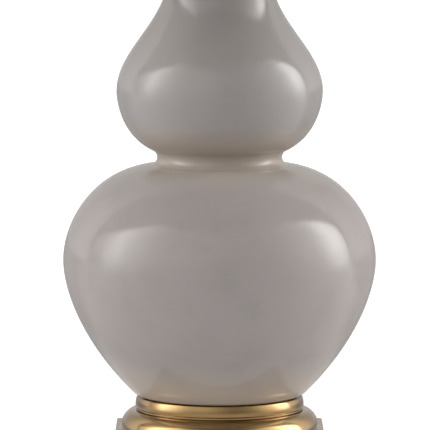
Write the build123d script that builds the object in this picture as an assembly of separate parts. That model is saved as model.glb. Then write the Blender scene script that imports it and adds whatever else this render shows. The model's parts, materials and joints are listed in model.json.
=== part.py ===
"""Table lamp with a glazed double gourd body.

The lamp stands on a square brass plinth.  A turned moulding and a seat collar
carry the foot of the hollow ceramic gourd.  A threaded rod clamps the stack:
its nut pulls up against the ballast plate inside the plinth, and its top end
holds the neck tube, the harp saddle and the socket.  The harp carries the
drum shade, and a finial holds the shade down.

Frame: millimetres, +Z up, origin on the table under the lamp's axis, front of
the lamp towards -Y.
"""
import os
from math import cos, radians, sin, sqrt

from build123d import *

# ---------------------------------------------------------------- clearances
rod_clearance = 0.3        # radius of a plain hole over the rod
thread_clearance = 0.1     # radius of a screwed hole over the rod
drop_in_clearance = 0.3    # a plate lying in its recess, each side
running_clearance = 0.3    # radius of a sliding sleeve or turning stem

# --------------------------------------------------------------------- plinth
felt_thickness = 2.5
felt_radius = 10.0
felt_spacing = 116.0       # between the centres of neighbouring feet
plinth_side = 165.0
plinth_height = 19.5
plinth_wall = 4.0
plinth_corner_radius = 2.5
plinth_edge_radius = 1.2
cover_thickness = 1.5
screw_spacing = 140.0
screw_boss_radius = 5.0
screw_shank_radius = 1.5
screw_pilot_radius = 1.6
screw_length = 9.0
screw_head_radius = 3.0
screw_head_height = 1.8
screw_slot_width = 0.8
screw_slot_depth = 0.9

# ----------------------------------------------------------------- cord inlet
inlet_bore_radius = 4.0
bushing_wall = 1.4
bushing_flange_radius = 7.5
bushing_flange_thickness = 1.5
bushing_lip_radius = 6.2
bushing_lip_length = 1.5
bushing_fit = 0.1

# --------------------------------------------------------------- central clamp
rod_radius = 5.1
rod_bore_radius = 3.2
ballast_radius = 62.0
ballast_thickness = 6.0
washer_radius = 10.0
washer_thickness = 1.5
nut_across_flats = 14.3
nut_thickness = 5.0
rod_below_nut = 1.2

# ------------------------------------------------------------- turned moulding
flange_radius = 80.8
flange_height = 5.0
flange_edge_radius = 1.8
ovolo_radius = 77.7        # widest radius of the quarter round
ovolo_reach = 11.1         # how far the quarter round draws in
ovolo_height = 15.0
moulding_wall = 2.5
moulding_web_radius = 56.0

# ----------------------------------------------------------------- seat collar
collar_height = 11.0
collar_radius = 66.1       # widest radius of the rounded band
collar_widest_rise = 4.6
collar_crest_radius = 64.4
collar_draw_in = 0.65      # share of the step to the valley where the band turns in
collar_recess_radius = 62.8
collar_recess_height = 0.6
collar_bead_radius = 64.1  # outside of the fine bead below the band
collar_bead_height = 1.2
collar_valley_radius = 63.5
collar_inner_radius = 61.2
collar_web_thickness = 2.5
foot_gasket_thickness = 1.5
foot_gasket_inner = 45.0

# ----------------------------------------------------------------- gourd body
gourd_wall = 6.0
foot_flat_radius = 60.0
foot_round = 12.0
foot_angle = 45.0          # lean of the side above the foot, from upright
foot_fullness = 59.0
foot_hole_radius = 12.0
belly_radius = 122.5
belly_rise = 107.0         # heights are counted from the gourd's foot
belly_fullness_below = 21.0
belly_fullness_above = 30.0
shoulder_fullness = 44.5
shoulder_angle = 85.0      # lean of the shoulder where it meets the waist
waist_radius = 49.0
waist_rise = 187.5
waist_groove_radius = 6.0
bulb_angle = 65.0          # lean of the upper bulb where it leaves the waist
bulb_fullness_below = 27.0
bulb_equator_below = 8.0
bulb_radius = 80.75
bulb_rise = 239.0
bulb_equator_above = 35.5
neck_fullness = 50.0
neck_radius = 38.3
neck_length = 10.0         # upright stretch below the mouth
gourd_height = 352.0
mouth_round = 2.0

# ------------------------------------------------------------------- neck cap
mouth_gasket_thickness = 1.0
neck_cap_wall = 1.8
neck_cap_skirt = 5.0
neck_cap_height = 11.0
neck_cap_crown_radius = 12.0
neck_cap_gap = 0.5
check_ring_radius = 11.0
check_ring_height = 4.0
neck_tube_height = 26.0
neck_tube_foot_radius = 9.5
neck_tube_waist_radius = 6.6
neck_tube_head_radius = 8.8
neck_tube_bead = 3.0

# ---------------------------------------------------------------- harp saddle
saddle_thickness = 1.6
saddle_width = 12.0
saddle_flat = 22.0         # length of the flat that is clamped
saddle_rise = 8.0
harp_spacing = 66.0        # between the harp's two legs
saddle_cup_radius = 3.4
saddle_cup_height = 6.0
saddle_pin_radius = 1.5
saddle_pin_height = 10.0

# --------------------------------------------------------------------- socket
socket_hub_radius = 7.5
socket_hub_height = 8.0
socket_cap_radius = 17.3
socket_cap_dome = 12.0
socket_cap_rim = 6.0
socket_wall = 0.9
shell_length = 48.0
shell_in_cap = 6.0
shell_fit = 0.1
shell_bead_radius = 0.9
shell_bead_rise = 14.0
liner_wall = 0.8
core_height = 18.0
core_radius = 14.3
screw_shell_inner = 13.5
screw_shell_wall = 0.5
screw_shell_height = 27.0
contact_hole_radius = 4.0
contact_radius = 3.0
contact_height = 1.5

# --------------------------------------------------------------------- switch
switch_stem_radius = 2.0
switch_stem_rise = 8.0     # above the bottom of the socket's core
switch_stem_depth = 6.0
switch_stem_length = 26.0
switch_knob_width = 13.0
switch_knob_thickness = 4.5
switch_knob_length = 15.0
switch_knob_grip = 7.0     # length of the stem inside the knob

# ----------------------------------------------------------------------- bulb
bulb_cap_radius = 13.1
bulb_cap_height = 23.0
bulb_tip_radius = 4.6
bulb_tip_height = 3.0
bulb_tip_gap = 0.1
bulb_skirt_height = 4.0
bulb_neck_radius = 13.0
bulb_globe_radius = 30.0
bulb_length = 111.0
bulb_glass_wall = 1.0

# ----------------------------------------------------------------------- harp
harp_wire_radius = 1.6
harp_height = 229.0        # from the saddle's seat to the top of the wire
harp_half_width = 57.0
harp_straight = 30.0       # upright length above the saddle's pins
harp_belly_rise = 64.0     # where the harp reaches its full width
harp_belly_length = 70.0
harp_top_half_width = 26.0
harp_bends = [20.0, 34.0, 80.0, 22.0]
ferrule_length = 18.0
ferrule_wall = 1.3
post_radius = 5.0
post_below_wire = 3.5
post_above_wire = 4.0
stud_radius = 3.1
stud_length = 14.0

# --------------------------------------------------------------------- finial
finial_height = 33.0
finial_base_radius = 6.5
finial_waist_radius = 4.6
finial_ball_radius = 9.0
finial_hole_depth = 13.0
finial_tip_radius = 3.0

# ---------------------------------------------------------------------- shade
shade_bottom_radius = 190.0
shade_top_radius = 170.0
shade_height = 265.0
shade_wall = 1.0
shade_wire_radius = 1.5
shade_recess = 12.0        # fitter below the top edge of the shade
fitter_washer_radius = 12.0
fitter_washer_thickness = 1.6
fitter_hub_length = 60.0   # level stretch of each arm
trim_height = 11.0
trim_thickness = 0.6
wire_gap = 0.1

# -------------------------------------------------------- heights up the lamp
plinth_bottom = felt_thickness
plinth_top = plinth_bottom + plinth_height
cavity_top = plinth_top - plinth_wall
cover_top = plinth_bottom + cover_thickness
ballast_bottom = cavity_top - ballast_thickness
washer_bottom = ballast_bottom - washer_thickness
nut_bottom = washer_bottom - nut_thickness
flange_top = plinth_top + flange_height
moulding_top = flange_top + ovolo_height
collar_top = moulding_top + collar_height
foot_z = collar_top
web_top = foot_z - foot_gasket_thickness
belly_z = foot_z + belly_rise
waist_z = foot_z + waist_rise
bulb_z = foot_z + bulb_rise
mouth_z = foot_z + gourd_height
neck_z = mouth_z - neck_length
cap_seat = mouth_z + mouth_gasket_thickness
neck_cap_top = cap_seat + neck_cap_height
neck_tube_bottom = neck_cap_top + check_ring_height
saddle_bottom = neck_tube_bottom + neck_tube_height
socket_bottom = saddle_bottom + saddle_thickness
hub_top = socket_bottom + socket_hub_height
socket_cap_top = hub_top + socket_cap_dome + socket_cap_rim
shell_bottom = socket_cap_top - shell_in_cap
shell_top = shell_bottom + shell_length
core_bottom = shell_bottom + 1.0
core_top = core_bottom + core_height
switch_z = core_bottom + switch_stem_rise
bulb_bottom = core_top + contact_height + bulb_tip_gap
saddle_cup_top = saddle_bottom + saddle_rise + saddle_cup_height
harp_bottom = saddle_cup_top + saddle_pin_height
harp_top = socket_bottom + harp_height
wire_axis_z = harp_top - harp_wire_radius
post_top = wire_axis_z + post_above_wire
fitter_top = post_top + fitter_washer_thickness
shade_top = fitter_top + shade_recess
shade_bottom = shade_top - shade_height

# ----------------------------------------------------------- radii that follow
rod_hole_radius = rod_radius + rod_clearance
rod_thread_radius = rod_radius + thread_clearance
bushing_outer_radius = inlet_bore_radius + bushing_wall
inlet_hole_radius = bushing_outer_radius + bushing_fit
inlet_z = (cover_top + cavity_top) / 2
shell_outer_radius = socket_cap_radius - socket_wall - shell_fit
shell_inner_radius = shell_outer_radius - socket_wall
liner_outer_radius = shell_inner_radius - shell_fit
switch_hole_radius = switch_stem_radius + running_clearance
ferrule_bore_radius = harp_wire_radius + running_clearance
shade_taper = (shade_bottom_radius - shade_top_radius) / shade_height


# ------------------------------------------------------------------- helpers
def turned(*edges):
    """A solid turned about the lamp's axis from edges drawn in radius and height."""
    return revolve(Plane.XZ * make_face(list(edges)), Axis.Z)


def turned_points(*points):
    """A solid turned from a straight-sided outline of (radius, height) points."""
    return turned(Polyline(*points, points[0]))


def ring(outer, inner, bottom, height):
    """A flat ring about the lamp's axis."""
    return Pos(0, 0, bottom) * extrude(Circle(outer) - Circle(inner), height)


def disc(radius, bottom, height):
    """A disc about the lamp's axis."""
    return Pos(0, 0, bottom) * extrude(Circle(radius), height)


def at_corners(spacing, piece):
    """Four copies of a piece at the corners of a square about the lamp's axis."""
    half = spacing / 2
    places = [(x, y) for x in (-half, half) for y in (-half, half)]
    return [Pos(x, y, 0) * piece for x, y in places]


def save(name, piece):
    """Write one sub-part, one solid or a group of separate solids."""
    solids = piece.solids()
    whole = solids[0] if len(solids) == 1 else Compound(children=list(solids))
    export_step(whole, f"parts/{name}.step")


# -------------------------------------------------------------------- plinth
def felt_feet():
    pad = extrude(Circle(felt_radius), felt_thickness)
    return Compound(children=at_corners(felt_spacing, pad))


def plinth():
    """Cast square shell, open below, with four bosses for the cover's screws."""
    block = extrude(RectangleRounded(plinth_side, plinth_side, plinth_corner_radius), plinth_height)
    block = Pos(0, 0, plinth_bottom) * block
    block = fillet(block.faces().sort_by(Axis.Z)[-1].edges(), plinth_edge_radius)
    inner = plinth_side - 2 * plinth_wall
    block -= Pos(0, 0, plinth_bottom) * extrude(Rectangle(inner, inner), plinth_height - plinth_wall)
    boss = Pos(0, 0, cover_top) * extrude(Circle(screw_boss_radius), cavity_top - cover_top)
    for placed in at_corners(screw_spacing, boss):
        block += placed
    pilot = Pos(0, 0, cover_top) * extrude(Circle(screw_pilot_radius), screw_length)
    for placed in at_corners(screw_spacing, pilot):
        block -= placed
    block -= disc(rod_hole_radius, cavity_top, plinth_wall)
    return block - inlet_cylinder(inlet_hole_radius, plinth_side / 2 - plinth_wall, plinth_wall)


def inlet_cylinder(radius, start, length):
    """A cylinder on the cord inlet's axis, running backwards from y = start."""
    return Pos(0, start, inlet_z) * (Rot(-90, 0, 0) * extrude(Circle(radius), length))


def cord_bushing():
    """Flanged bushing snapped into the back wall of the plinth."""
    outside = plinth_side / 2
    inside = outside - plinth_wall
    piece = inlet_cylinder(bushing_outer_radius, inside, plinth_wall)
    piece += inlet_cylinder(bushing_flange_radius, outside, bushing_flange_thickness)
    piece += inlet_cylinder(bushing_lip_radius, inside - bushing_lip_length, bushing_lip_length)
    length = bushing_lip_length + plinth_wall + bushing_flange_thickness
    return piece - inlet_cylinder(inlet_bore_radius, inside - bushing_lip_length, length)


def bottom_cover():
    side = plinth_side - 2 * plinth_wall - 2 * drop_in_clearance
    plate = Pos(0, 0, plinth_bottom) * extrude(Rectangle(side, side), cover_thickness)
    hole = Pos(0, 0, plinth_bottom) * extrude(Circle(screw_shank_radius + rod_clearance), cover_thickness)
    for placed in at_corners(screw_spacing, hole):
        plate -= placed
    return plate


def cover_screws():
    """Four slotted pan head screws."""
    head_bottom = Pos(0, 0, plinth_bottom - screw_head_height)
    head = head_bottom * extrude(Circle(screw_head_radius), screw_head_height)
    slot = head_bottom * extrude(Rectangle(2 * screw_head_radius, screw_slot_width), screw_slot_depth)
    shank = Pos(0, 0, plinth_bottom) * extrude(Circle(screw_shank_radius), screw_length)
    return Compound(children=at_corners(screw_spacing, head + shank - slot))


# -------------------------------------------------------------- central clamp
def ballast_plate():
    return ring(ballast_radius, rod_hole_radius, ballast_bottom, ballast_thickness)


def rod_washer():
    return ring(washer_radius, rod_hole_radius, washer_bottom, washer_thickness)


def rod_nut():
    hexagon = RegularPolygon(nut_across_flats / 2, 6, major_radius=False)
    nut = Pos(0, 0, nut_bottom) * extrude(hexagon - Circle(rod_thread_radius), nut_thickness)
    corner = nut_across_flats / 2 / cos(radians(30))
    bevel = corner - nut_across_flats / 2
    rounding = turned_points(
        (0, nut_bottom), (corner - bevel, nut_bottom), (corner, nut_bottom + bevel / 2),
        (corner, nut_bottom + nut_thickness), (0, nut_bottom + nut_thickness))
    return nut & rounding


def threaded_rod():
    bottom = nut_bottom - rod_below_nut
    top = hub_top + nut_thickness / 2
    return ring(rod_radius, rod_bore_radius, bottom, top - bottom)


# ------------------------------------------------------------ turned moulding
def ovolo(radius, reach, bottom, height):
    """Quarter round drawn from its widest point up to its top."""
    kappa = 4 / 3 * (sqrt(2) - 1)
    return Bezier(
        (radius, bottom), (radius, bottom + kappa * height),
        (radius - reach + kappa * reach, bottom + height), (radius - reach, bottom + height))


def base_moulding():
    """Spun moulding: a low flange on the plinth, then a tall quarter round."""
    edge = flange_edge_radius
    under = ovolo_radius - moulding_wall
    under_height = ovolo_height - moulding_wall
    top_radius = ovolo_radius - ovolo_reach
    web, web_under = moulding_web_radius, moulding_top - moulding_wall
    return turned(
        Line((under, plinth_top), (flange_radius, plinth_top)),
        Line((flange_radius, plinth_top), (flange_radius, flange_top - edge)),
        RadiusArc((flange_radius, flange_top - edge), (flange_radius - edge, flange_top), -edge),
        Line((flange_radius - edge, flange_top), (ovolo_radius, flange_top)),
        ovolo(ovolo_radius, ovolo_reach, flange_top, ovolo_height),
        Line((top_radius, moulding_top), (web, moulding_top)),
        Line((web, moulding_top), (web, web_under)),
        Line((web, web_under), (under - ovolo_reach, web_under)),
        ovolo(under, ovolo_reach, flange_top, under_height),
        Line((under, flange_top), (under, plinth_top)))


# ---------------------------------------------------------------- seat collar
def seat_collar():
    """Ring with a rounded band, a fine bead below it and a web under the gourd."""
    bead_bottom = moulding_top + collar_recess_height
    bead_top = bead_bottom + collar_bead_height
    widest = moulding_top + collar_widest_rise
    web_bottom = web_top - collar_web_thickness
    recess, valley = collar_recess_radius, collar_valley_radius
    return turned(
        Line((collar_inner_radius, moulding_top), (recess, moulding_top)),
        Line((recess, moulding_top), (recess, bead_bottom)),
        Line((recess, bead_bottom), (valley, bead_bottom)),
        ThreePointArc(
            (valley, bead_bottom), (collar_bead_radius, (bead_bottom + bead_top) / 2),
            (valley, bead_top)),
        Bezier(
            (valley, bead_top), (valley + collar_draw_in * (collar_radius - valley), bead_top),
            (collar_radius, bead_top + (widest - bead_top) / 2), (collar_radius, widest)),
        Bezier(
            (collar_radius, widest), (collar_radius, widest + 2.5),
            (collar_crest_radius + 0.8, collar_top - 0.3), (collar_crest_radius, collar_top)),
        Line((collar_crest_radius, collar_top), (collar_inner_radius, web_top)),
        Line((collar_inner_radius, web_top), (rod_hole_radius, web_top)),
        Line((rod_hole_radius, web_top), (rod_hole_radius, web_bottom)),
        Line((rod_hole_radius, web_bottom), (collar_inner_radius, web_bottom)),
        Line((collar_inner_radius, web_bottom), (collar_inner_radius, moulding_top)))


def foot_gasket():
    return ring(foot_flat_radius - 1.0, foot_gasket_inner, web_top, foot_gasket_thickness)


# ------------------------------------------------------------------ gourd body
def gourd_side(inset):
    """Edges up the side of the gourd, 'inset' inside the glazed surface.

    The chain runs foot round, lower gourd, shoulder, waist groove, upper bulb
    and neck, each edge leaving the last one in the same direction.
    """
    lean, shoulder, leave = (radians(a) for a in (foot_angle, shoulder_angle, bulb_angle))
    round_radius = foot_round - inset
    groove = waist_groove_radius + inset
    belly, bulb, neck = belly_radius - inset, bulb_radius - inset, neck_radius - inset
    foot_start = Vector(foot_flat_radius, foot_z + inset)
    foot_end = foot_start + Vector(round_radius * cos(lean), round_radius * (1 - sin(lean)))
    groove_centre = Vector(waist_radius + waist_groove_radius, waist_z)
    groove_low = groove_centre + Vector(-groove * cos(shoulder), -groove * sin(shoulder))
    groove_mid = groove_centre + Vector(-groove, 0)
    groove_high = groove_centre + Vector(-groove * cos(leave), groove * sin(leave))
    foot_mid = foot_start + Vector(
        round_radius * sin((radians(90) - lean) / 2), round_radius * (1 - cos((radians(90) - lean) / 2)))
    return [
        ThreePointArc(foot_start, foot_mid, foot_end),
        Bezier(
            foot_end, foot_end + Vector(sin(lean), cos(lean)) * foot_fullness,
            Vector(belly, belly_z - belly_fullness_below), Vector(belly, belly_z)),
        Bezier(
            Vector(belly, belly_z), Vector(belly, belly_z + belly_fullness_above),
            groove_low + Vector(sin(shoulder), -cos(shoulder)) * shoulder_fullness, groove_low),
        ThreePointArc(groove_low, groove_mid, groove_high),
        Bezier(
            groove_high, groove_high + Vector(sin(leave), cos(leave)) * bulb_fullness_below,
            Vector(bulb, bulb_z - bulb_equator_below), Vector(bulb, bulb_z)),
        Bezier(
            Vector(bulb, bulb_z), Vector(bulb, bulb_z + bulb_equator_above),
            Vector(neck, neck_z - neck_fullness), Vector(neck, neck_z)),
    ]


def gourd_body():
    """Slip-cast double gourd, hollow from the hole in its foot to its mouth."""
    bore = neck_radius - gourd_wall
    floor_z = foot_z + gourd_wall
    return turned(
        Line((foot_hole_radius, foot_z), (foot_flat_radius, foot_z)),
        *gourd_side(0),
        Line((neck_radius, neck_z), (neck_radius, mouth_z - mouth_round)),
        RadiusArc((neck_radius, mouth_z - mouth_round), (neck_radius - mouth_round, mouth_z), -mouth_round),
        Line((neck_radius - mouth_round, mouth_z), (bore, mouth_z)),
        Line((bore, mouth_z), (bore, neck_z)),
        *gourd_side(gourd_wall),
        Line((foot_flat_radius, floor_z), (foot_hole_radius, floor_z)),
        Line((foot_hole_radius, floor_z), (foot_hole_radius, foot_z)))


# --------------------------------------------------------------------- neck
def mouth_gasket():
    return ring(neck_radius - mouth_round, neck_radius - gourd_wall, mouth_z, mouth_gasket_thickness)


def neck_cap():
    """Spun cap over the gourd's mouth, with a skirt round the outside of the neck."""
    wall = neck_cap_wall
    inner = neck_radius + neck_cap_gap
    outer = inner + wall
    crown = neck_cap_crown_radius
    seat = neck_radius - gourd_wall
    low = cap_seat + wall
    return turned(
        Line((inner, cap_seat - neck_cap_skirt), (outer, cap_seat - neck_cap_skirt)),
        Line((outer, cap_seat - neck_cap_skirt), (outer, cap_seat)),
        Bezier(
            (outer, cap_seat), (outer, low + 1.0),
            (outer - 6.0, low + 1.6), (outer - 12.0, low + 2.6)),
        Bezier(
            (outer - 12.0, low + 2.6), (outer - 20.0, low + 4.0),
            (crown + 4.0, neck_cap_top), (crown, neck_cap_top)),
        Line((crown, neck_cap_top), (rod_hole_radius, neck_cap_top)),
        Line((rod_hole_radius, neck_cap_top), (rod_hole_radius, neck_cap_top - wall)),
        Line((rod_hole_radius, neck_cap_top - wall), (crown, neck_cap_top - wall)),
        Line((crown, neck_cap_top - wall), (seat, low)),
        Line((seat, low), (seat, cap_seat)),
        Line((seat, cap_seat), (inner, cap_seat)),
        Line((inner, cap_seat), (inner, cap_seat - neck_cap_skirt)))


def check_ring():
    piece = ring(check_ring_radius, rod_hole_radius, neck_cap_top, check_ring_height)
    rims = [e for e in piece.edges().filter_by(GeomType.CIRCLE) if e.radius > rod_hole_radius + 1]
    return fillet(rims, check_ring_height / 4)


def neck_tube():
    """Turned spacer tube with a beaded foot and a flared head."""
    bottom, top = neck_tube_bottom, saddle_bottom
    bead = neck_tube_bead
    foot, waist, head = neck_tube_foot_radius, neck_tube_waist_radius, neck_tube_head_radius
    middle = (bottom + top) / 2
    return turned(
        Line((rod_hole_radius, bottom), (foot, bottom)),
        ThreePointArc((foot, bottom), (foot + bead / 2, bottom + bead / 2), (foot, bottom + bead)),
        Bezier(
            (foot, bottom + bead), (waist + 0.5, bottom + bead + 1.0),
            (waist, bottom + 8.0), (waist, middle)),
        Bezier((waist, middle), (waist, top - 7.0), (head - 0.5, top - 6.0), (head, top - bead)),
        Line((head, top - bead), (head, top)),
        Line((head, top), (rod_hole_radius, top)),
        Line((rod_hole_radius, top), (rod_hole_radius, bottom)))


def harp_saddle():
    """Stamped saddle: a clamped flat, two rising arms and a cup with a pin at each end."""
    half = harp_spacing / 2
    middle = saddle_bottom + saddle_thickness / 2
    end = middle + saddle_rise - saddle_thickness
    bend = saddle_flat / 2
    line = Polyline(
        (-half, end), (-half + 6, end), (-bend, middle), (bend, middle), (half - 6, end), (half, end))
    strip = extrude(Plane.XZ * trace(line, saddle_thickness), saddle_width / 2, both=True)
    strip -= disc(rod_hole_radius, saddle_bottom - 1, saddle_thickness + 2)
    cup_bottom = end - saddle_thickness / 2
    cup = Pos(0, 0, cup_bottom) * extrude(Circle(saddle_cup_radius), saddle_cup_top - cup_bottom)
    pin = Pos(0, 0, saddle_cup_top) * extrude(Circle(saddle_pin_radius), saddle_pin_height)
    for x in (-half, half):
        strip += Pos(x, 0, 0) * cup
        strip += Pos(x, 0, 0) * pin
    return strip


# -------------------------------------------------------------------- socket
def socket_cap():
    """Domed lower cup of the socket, screwed on the rod."""
    wall = socket_wall
    radius, hub = socket_cap_radius, socket_hub_radius
    dome_top = hub_top + socket_cap_dome
    return turned(
        Line((rod_thread_radius, socket_bottom), (hub, socket_bottom)),
        Line((hub, socket_bottom), (hub, hub_top)),
        Bezier((hub, hub_top), (radius - 2, hub_top), (radius, hub_top + 5), (radius, dome_top)),
        Line((radius, dome_top), (radius, socket_cap_top)),
        Line((radius, socket_cap_top), (radius - wall, socket_cap_top)),
        Line((radius - wall, socket_cap_top), (radius - wall, dome_top)),
        Bezier(
            (radius - wall, dome_top), (radius - wall, hub_top + 5 + wall),
            (radius - 2 - wall, hub_top + wall), (hub, hub_top + wall)),
        Line((hub, hub_top + wall), (rod_thread_radius, hub_top + wall)),
        Line((rod_thread_radius, hub_top + wall), (rod_thread_radius, socket_bottom)))


def socket_shell():
    """Brass shell of the socket, with a raised bead and a rolled rim."""
    outer, inner = shell_outer_radius, shell_inner_radius
    bead, bead_z = shell_bead_radius, shell_bottom + shell_bead_rise
    shell = turned(
        Line((inner, shell_bottom), (outer, shell_bottom)),
        Line((outer, shell_bottom), (outer, bead_z - bead)),
        ThreePointArc((outer, bead_z - bead), (outer + bead, bead_z), (outer, bead_z + bead)),
        Line((outer, bead_z + bead), (outer, shell_top - 2 * bead)),
        ThreePointArc(
            (outer, shell_top - 2 * bead), (outer + bead, shell_top - bead), (outer, shell_top)),
        Line((outer, shell_top), (inner, shell_top)),
        Line((inner, shell_top), (inner, shell_bottom)))
    return shell - stem_way(switch_hole_radius)


def stem_way(radius):
    """Hole for the switch stem, from the socket's core out through the front."""
    start = core_radius - switch_stem_depth
    length = shell_outer_radius + 2 - start
    return Pos(0, -start, switch_z) * (Rot(90, 0, 0) * extrude(Circle(radius), length))


def shell_liner():
    """Insulating sleeve inside the socket's shell."""
    height = shell_top - core_bottom - 2
    liner = ring(liner_outer_radius, liner_outer_radius - liner_wall, core_bottom, height)
    return liner - stem_way(switch_hole_radius)


def socket_core():
    """Moulded body of the switch."""
    return disc(core_radius, core_bottom, core_height) - stem_way(switch_hole_radius)


def screw_shell():
    outer = screw_shell_inner + screw_shell_wall
    cup = disc(outer, core_top, screw_shell_height)
    cup -= disc(screw_shell_inner, core_top + screw_shell_wall, screw_shell_height)
    return cup - disc(contact_hole_radius, core_top, screw_shell_wall)


def centre_contact():
    return disc(contact_radius, core_top, contact_height)


# -------------------------------------------------------------------- switch
def switch_stem():
    start = core_radius - switch_stem_depth
    stem = extrude(Circle(switch_stem_radius), switch_stem_length)
    return Pos(0, -start, switch_z) * (Rot(90, 0, 0) * stem)


def switch_knob():
    """Flat key with rounded ends, pushed on the stem."""
    end = core_radius - switch_stem_depth + switch_stem_length
    start = end - switch_knob_grip
    key = extrude(SlotOverall(switch_knob_width, switch_knob_thickness), switch_knob_length)
    key = fillet(key.faces().sort_by(Axis.Z)[-1].edges(), switch_knob_thickness / 4)
    hub = extrude(Circle(switch_stem_radius + 1.5), switch_knob_grip - 1)
    knob = (key + hub) - extrude(Circle(switch_stem_radius), switch_knob_grip)
    return Pos(0, -start, switch_z) * (Rot(90, 0, 0) * knob)


# ---------------------------------------------------------------------- bulb
def bulb_cap():
    """Screw cap of the bulb with its centre tip."""
    cap_bottom = bulb_bottom + bulb_tip_height
    return turned_points(
        (0, bulb_bottom), (bulb_tip_radius, bulb_bottom), (bulb_tip_radius + 3, cap_bottom),
        (bulb_cap_radius, cap_bottom + 2), (bulb_cap_radius, cap_bottom + bulb_cap_height),
        (0, cap_bottom + bulb_cap_height))


def bulb_glass():
    """Hollow pear-shaped glass, closed at its crown."""
    bottom = bulb_bottom + bulb_tip_height + bulb_cap_height
    top = bulb_bottom + bulb_length
    globe_z = top - bulb_globe_radius

    def half_outline(inset):
        neck, globe = bulb_neck_radius - inset, bulb_globe_radius - inset
        return [
            Line((neck, bottom), (neck, bottom + bulb_skirt_height)),
            Bezier(
                (neck, bottom + bulb_skirt_height), (neck, bottom + 22),
                (globe, globe_z - 26), (globe, globe_z)),
            CenterArc((0, globe_z), globe, 0, 90),
        ]

    return turned(
        *half_outline(0),
        Line((0, top), (0, top - bulb_glass_wall)),
        *half_outline(bulb_glass_wall),
        Line((bulb_neck_radius - bulb_glass_wall, bottom), (bulb_neck_radius, bottom)))


# ---------------------------------------------------------------------- harp
def harp_wire():
    """One bent wire: two upright legs, a wide belly and a level top."""
    leg = harp_spacing / 2
    wide, narrow = harp_half_width, harp_top_half_width
    side = [
        (leg, harp_bottom), (leg, harp_bottom + harp_straight),
        (wide, harp_bottom + harp_belly_rise), (wide, harp_bottom + harp_belly_rise + harp_belly_length),
        (narrow, wire_axis_z)]
    mirrored = [(-x, z) for x, z in reversed(side)]
    path = Plane.XZ * FilletPolyline(*side, *mirrored, radius=harp_bends + harp_bends[::-1])
    section = Pos(leg, 0, harp_bottom) * Circle(harp_wire_radius)
    return sweep(section, path=path)


def harp_post():
    """Drilled post on the top of the harp with the stud that takes shade and finial."""
    bottom = wire_axis_z - post_below_wire
    post = disc(post_radius, bottom, post_top - bottom)
    post = fillet(post.edges().filter_by(GeomType.CIRCLE), 0.6)
    cross = Pos(-2 * post_radius, 0, wire_axis_z) * (
        Rot(0, 90, 0) * extrude(Circle(harp_wire_radius + bushing_fit), 4 * post_radius))
    return post - cross + disc(stud_radius, post_top, stud_length)


def ferrule(x):
    """Sleeve that covers the joint between a harp leg and the saddle's pin."""
    outer = ferrule_bore_radius + ferrule_wall
    piece = extrude(Circle(outer) - Circle(ferrule_bore_radius), ferrule_length)
    rims = [e for e in piece.edges().filter_by(GeomType.CIRCLE) if e.radius > ferrule_bore_radius + 0.1]
    return Pos(x, 0, saddle_cup_top) * fillet(rims, ferrule_wall / 3)


# -------------------------------------------------------------------- finial
def finial():
    """Turned finial: flared base, narrow neck, ball and a small tip."""
    bottom, top = fitter_top, fitter_top + finial_height
    base, waist = finial_base_radius, finial_waist_radius
    ball_z = top - finial_tip_radius - finial_ball_radius
    stem = turned(
        Line((0, bottom), (base, bottom)),
        Line((base, bottom), (base, bottom + 2)),
        Bezier(
            (base, bottom + 2), (base, bottom + 5),
            (waist, bottom + 5), (waist, ball_z - finial_ball_radius)),
        Line((waist, ball_z - finial_ball_radius), (waist, ball_z)),
        Line((waist, ball_z), (0, ball_z)),
        Line((0, ball_z), (0, bottom)))
    ball = Pos(0, 0, ball_z) * Sphere(finial_ball_radius)
    tip = Pos(0, 0, top - finial_tip_radius) * Sphere(finial_tip_radius)
    return stem + ball + tip - disc(stud_radius + thread_clearance, bottom, finial_hole_depth)


# --------------------------------------------------------------------- shade
def shade_radius(z):
    """Outside radius of the shade's cover at height z."""
    return shade_bottom_radius - shade_taper * (z - shade_bottom)


def shade_band(bottom, top, inside, outside):
    """Conical band between two offsets from the outside of the shade's cover."""
    return turned_points(
        (shade_radius(bottom) + inside, bottom), (shade_radius(bottom) + outside, bottom),
        (shade_radius(top) + outside, top), (shade_radius(top) + inside, top))


def hoop_radius(z):
    """Radius of a wire hoop that lies just inside the cover at height z."""
    return shade_radius(z) - shade_wall - shade_wire_radius * sqrt(1 + shade_taper ** 2) - wire_gap


def shade_hoop(z):
    """Wire hoop, turned so that its closing joint lies between two fitter arms."""
    return Pos(0, 0, z) * (Rot(0, 0, 45) * Torus(hoop_radius(z), shade_wire_radius))


def shade_fitter():
    """Top hoop, three arms and the washer that sits on the harp's post."""
    hoop_z = shade_top - shade_wire_radius
    washer = ring(fitter_washer_radius, stud_radius + rod_clearance, post_top, fitter_washer_thickness)
    arm_z = post_top + fitter_washer_thickness / 2
    start = fitter_washer_radius - 2
    path = Plane.XZ * FilletPolyline(
        (start, arm_z), (fitter_hub_length, arm_z), (hoop_radius(hoop_z), hoop_z), radius=40)
    arm = sweep(Plane.YZ.offset(start) * (Pos(0, arm_z) * Circle(fitter_washer_thickness / 2)), path=path)
    piece = washer
    for turn in (90, 210, 330):
        piece += Rot(0, 0, turn) * arm
    return piece + shade_hoop(hoop_z)


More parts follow.
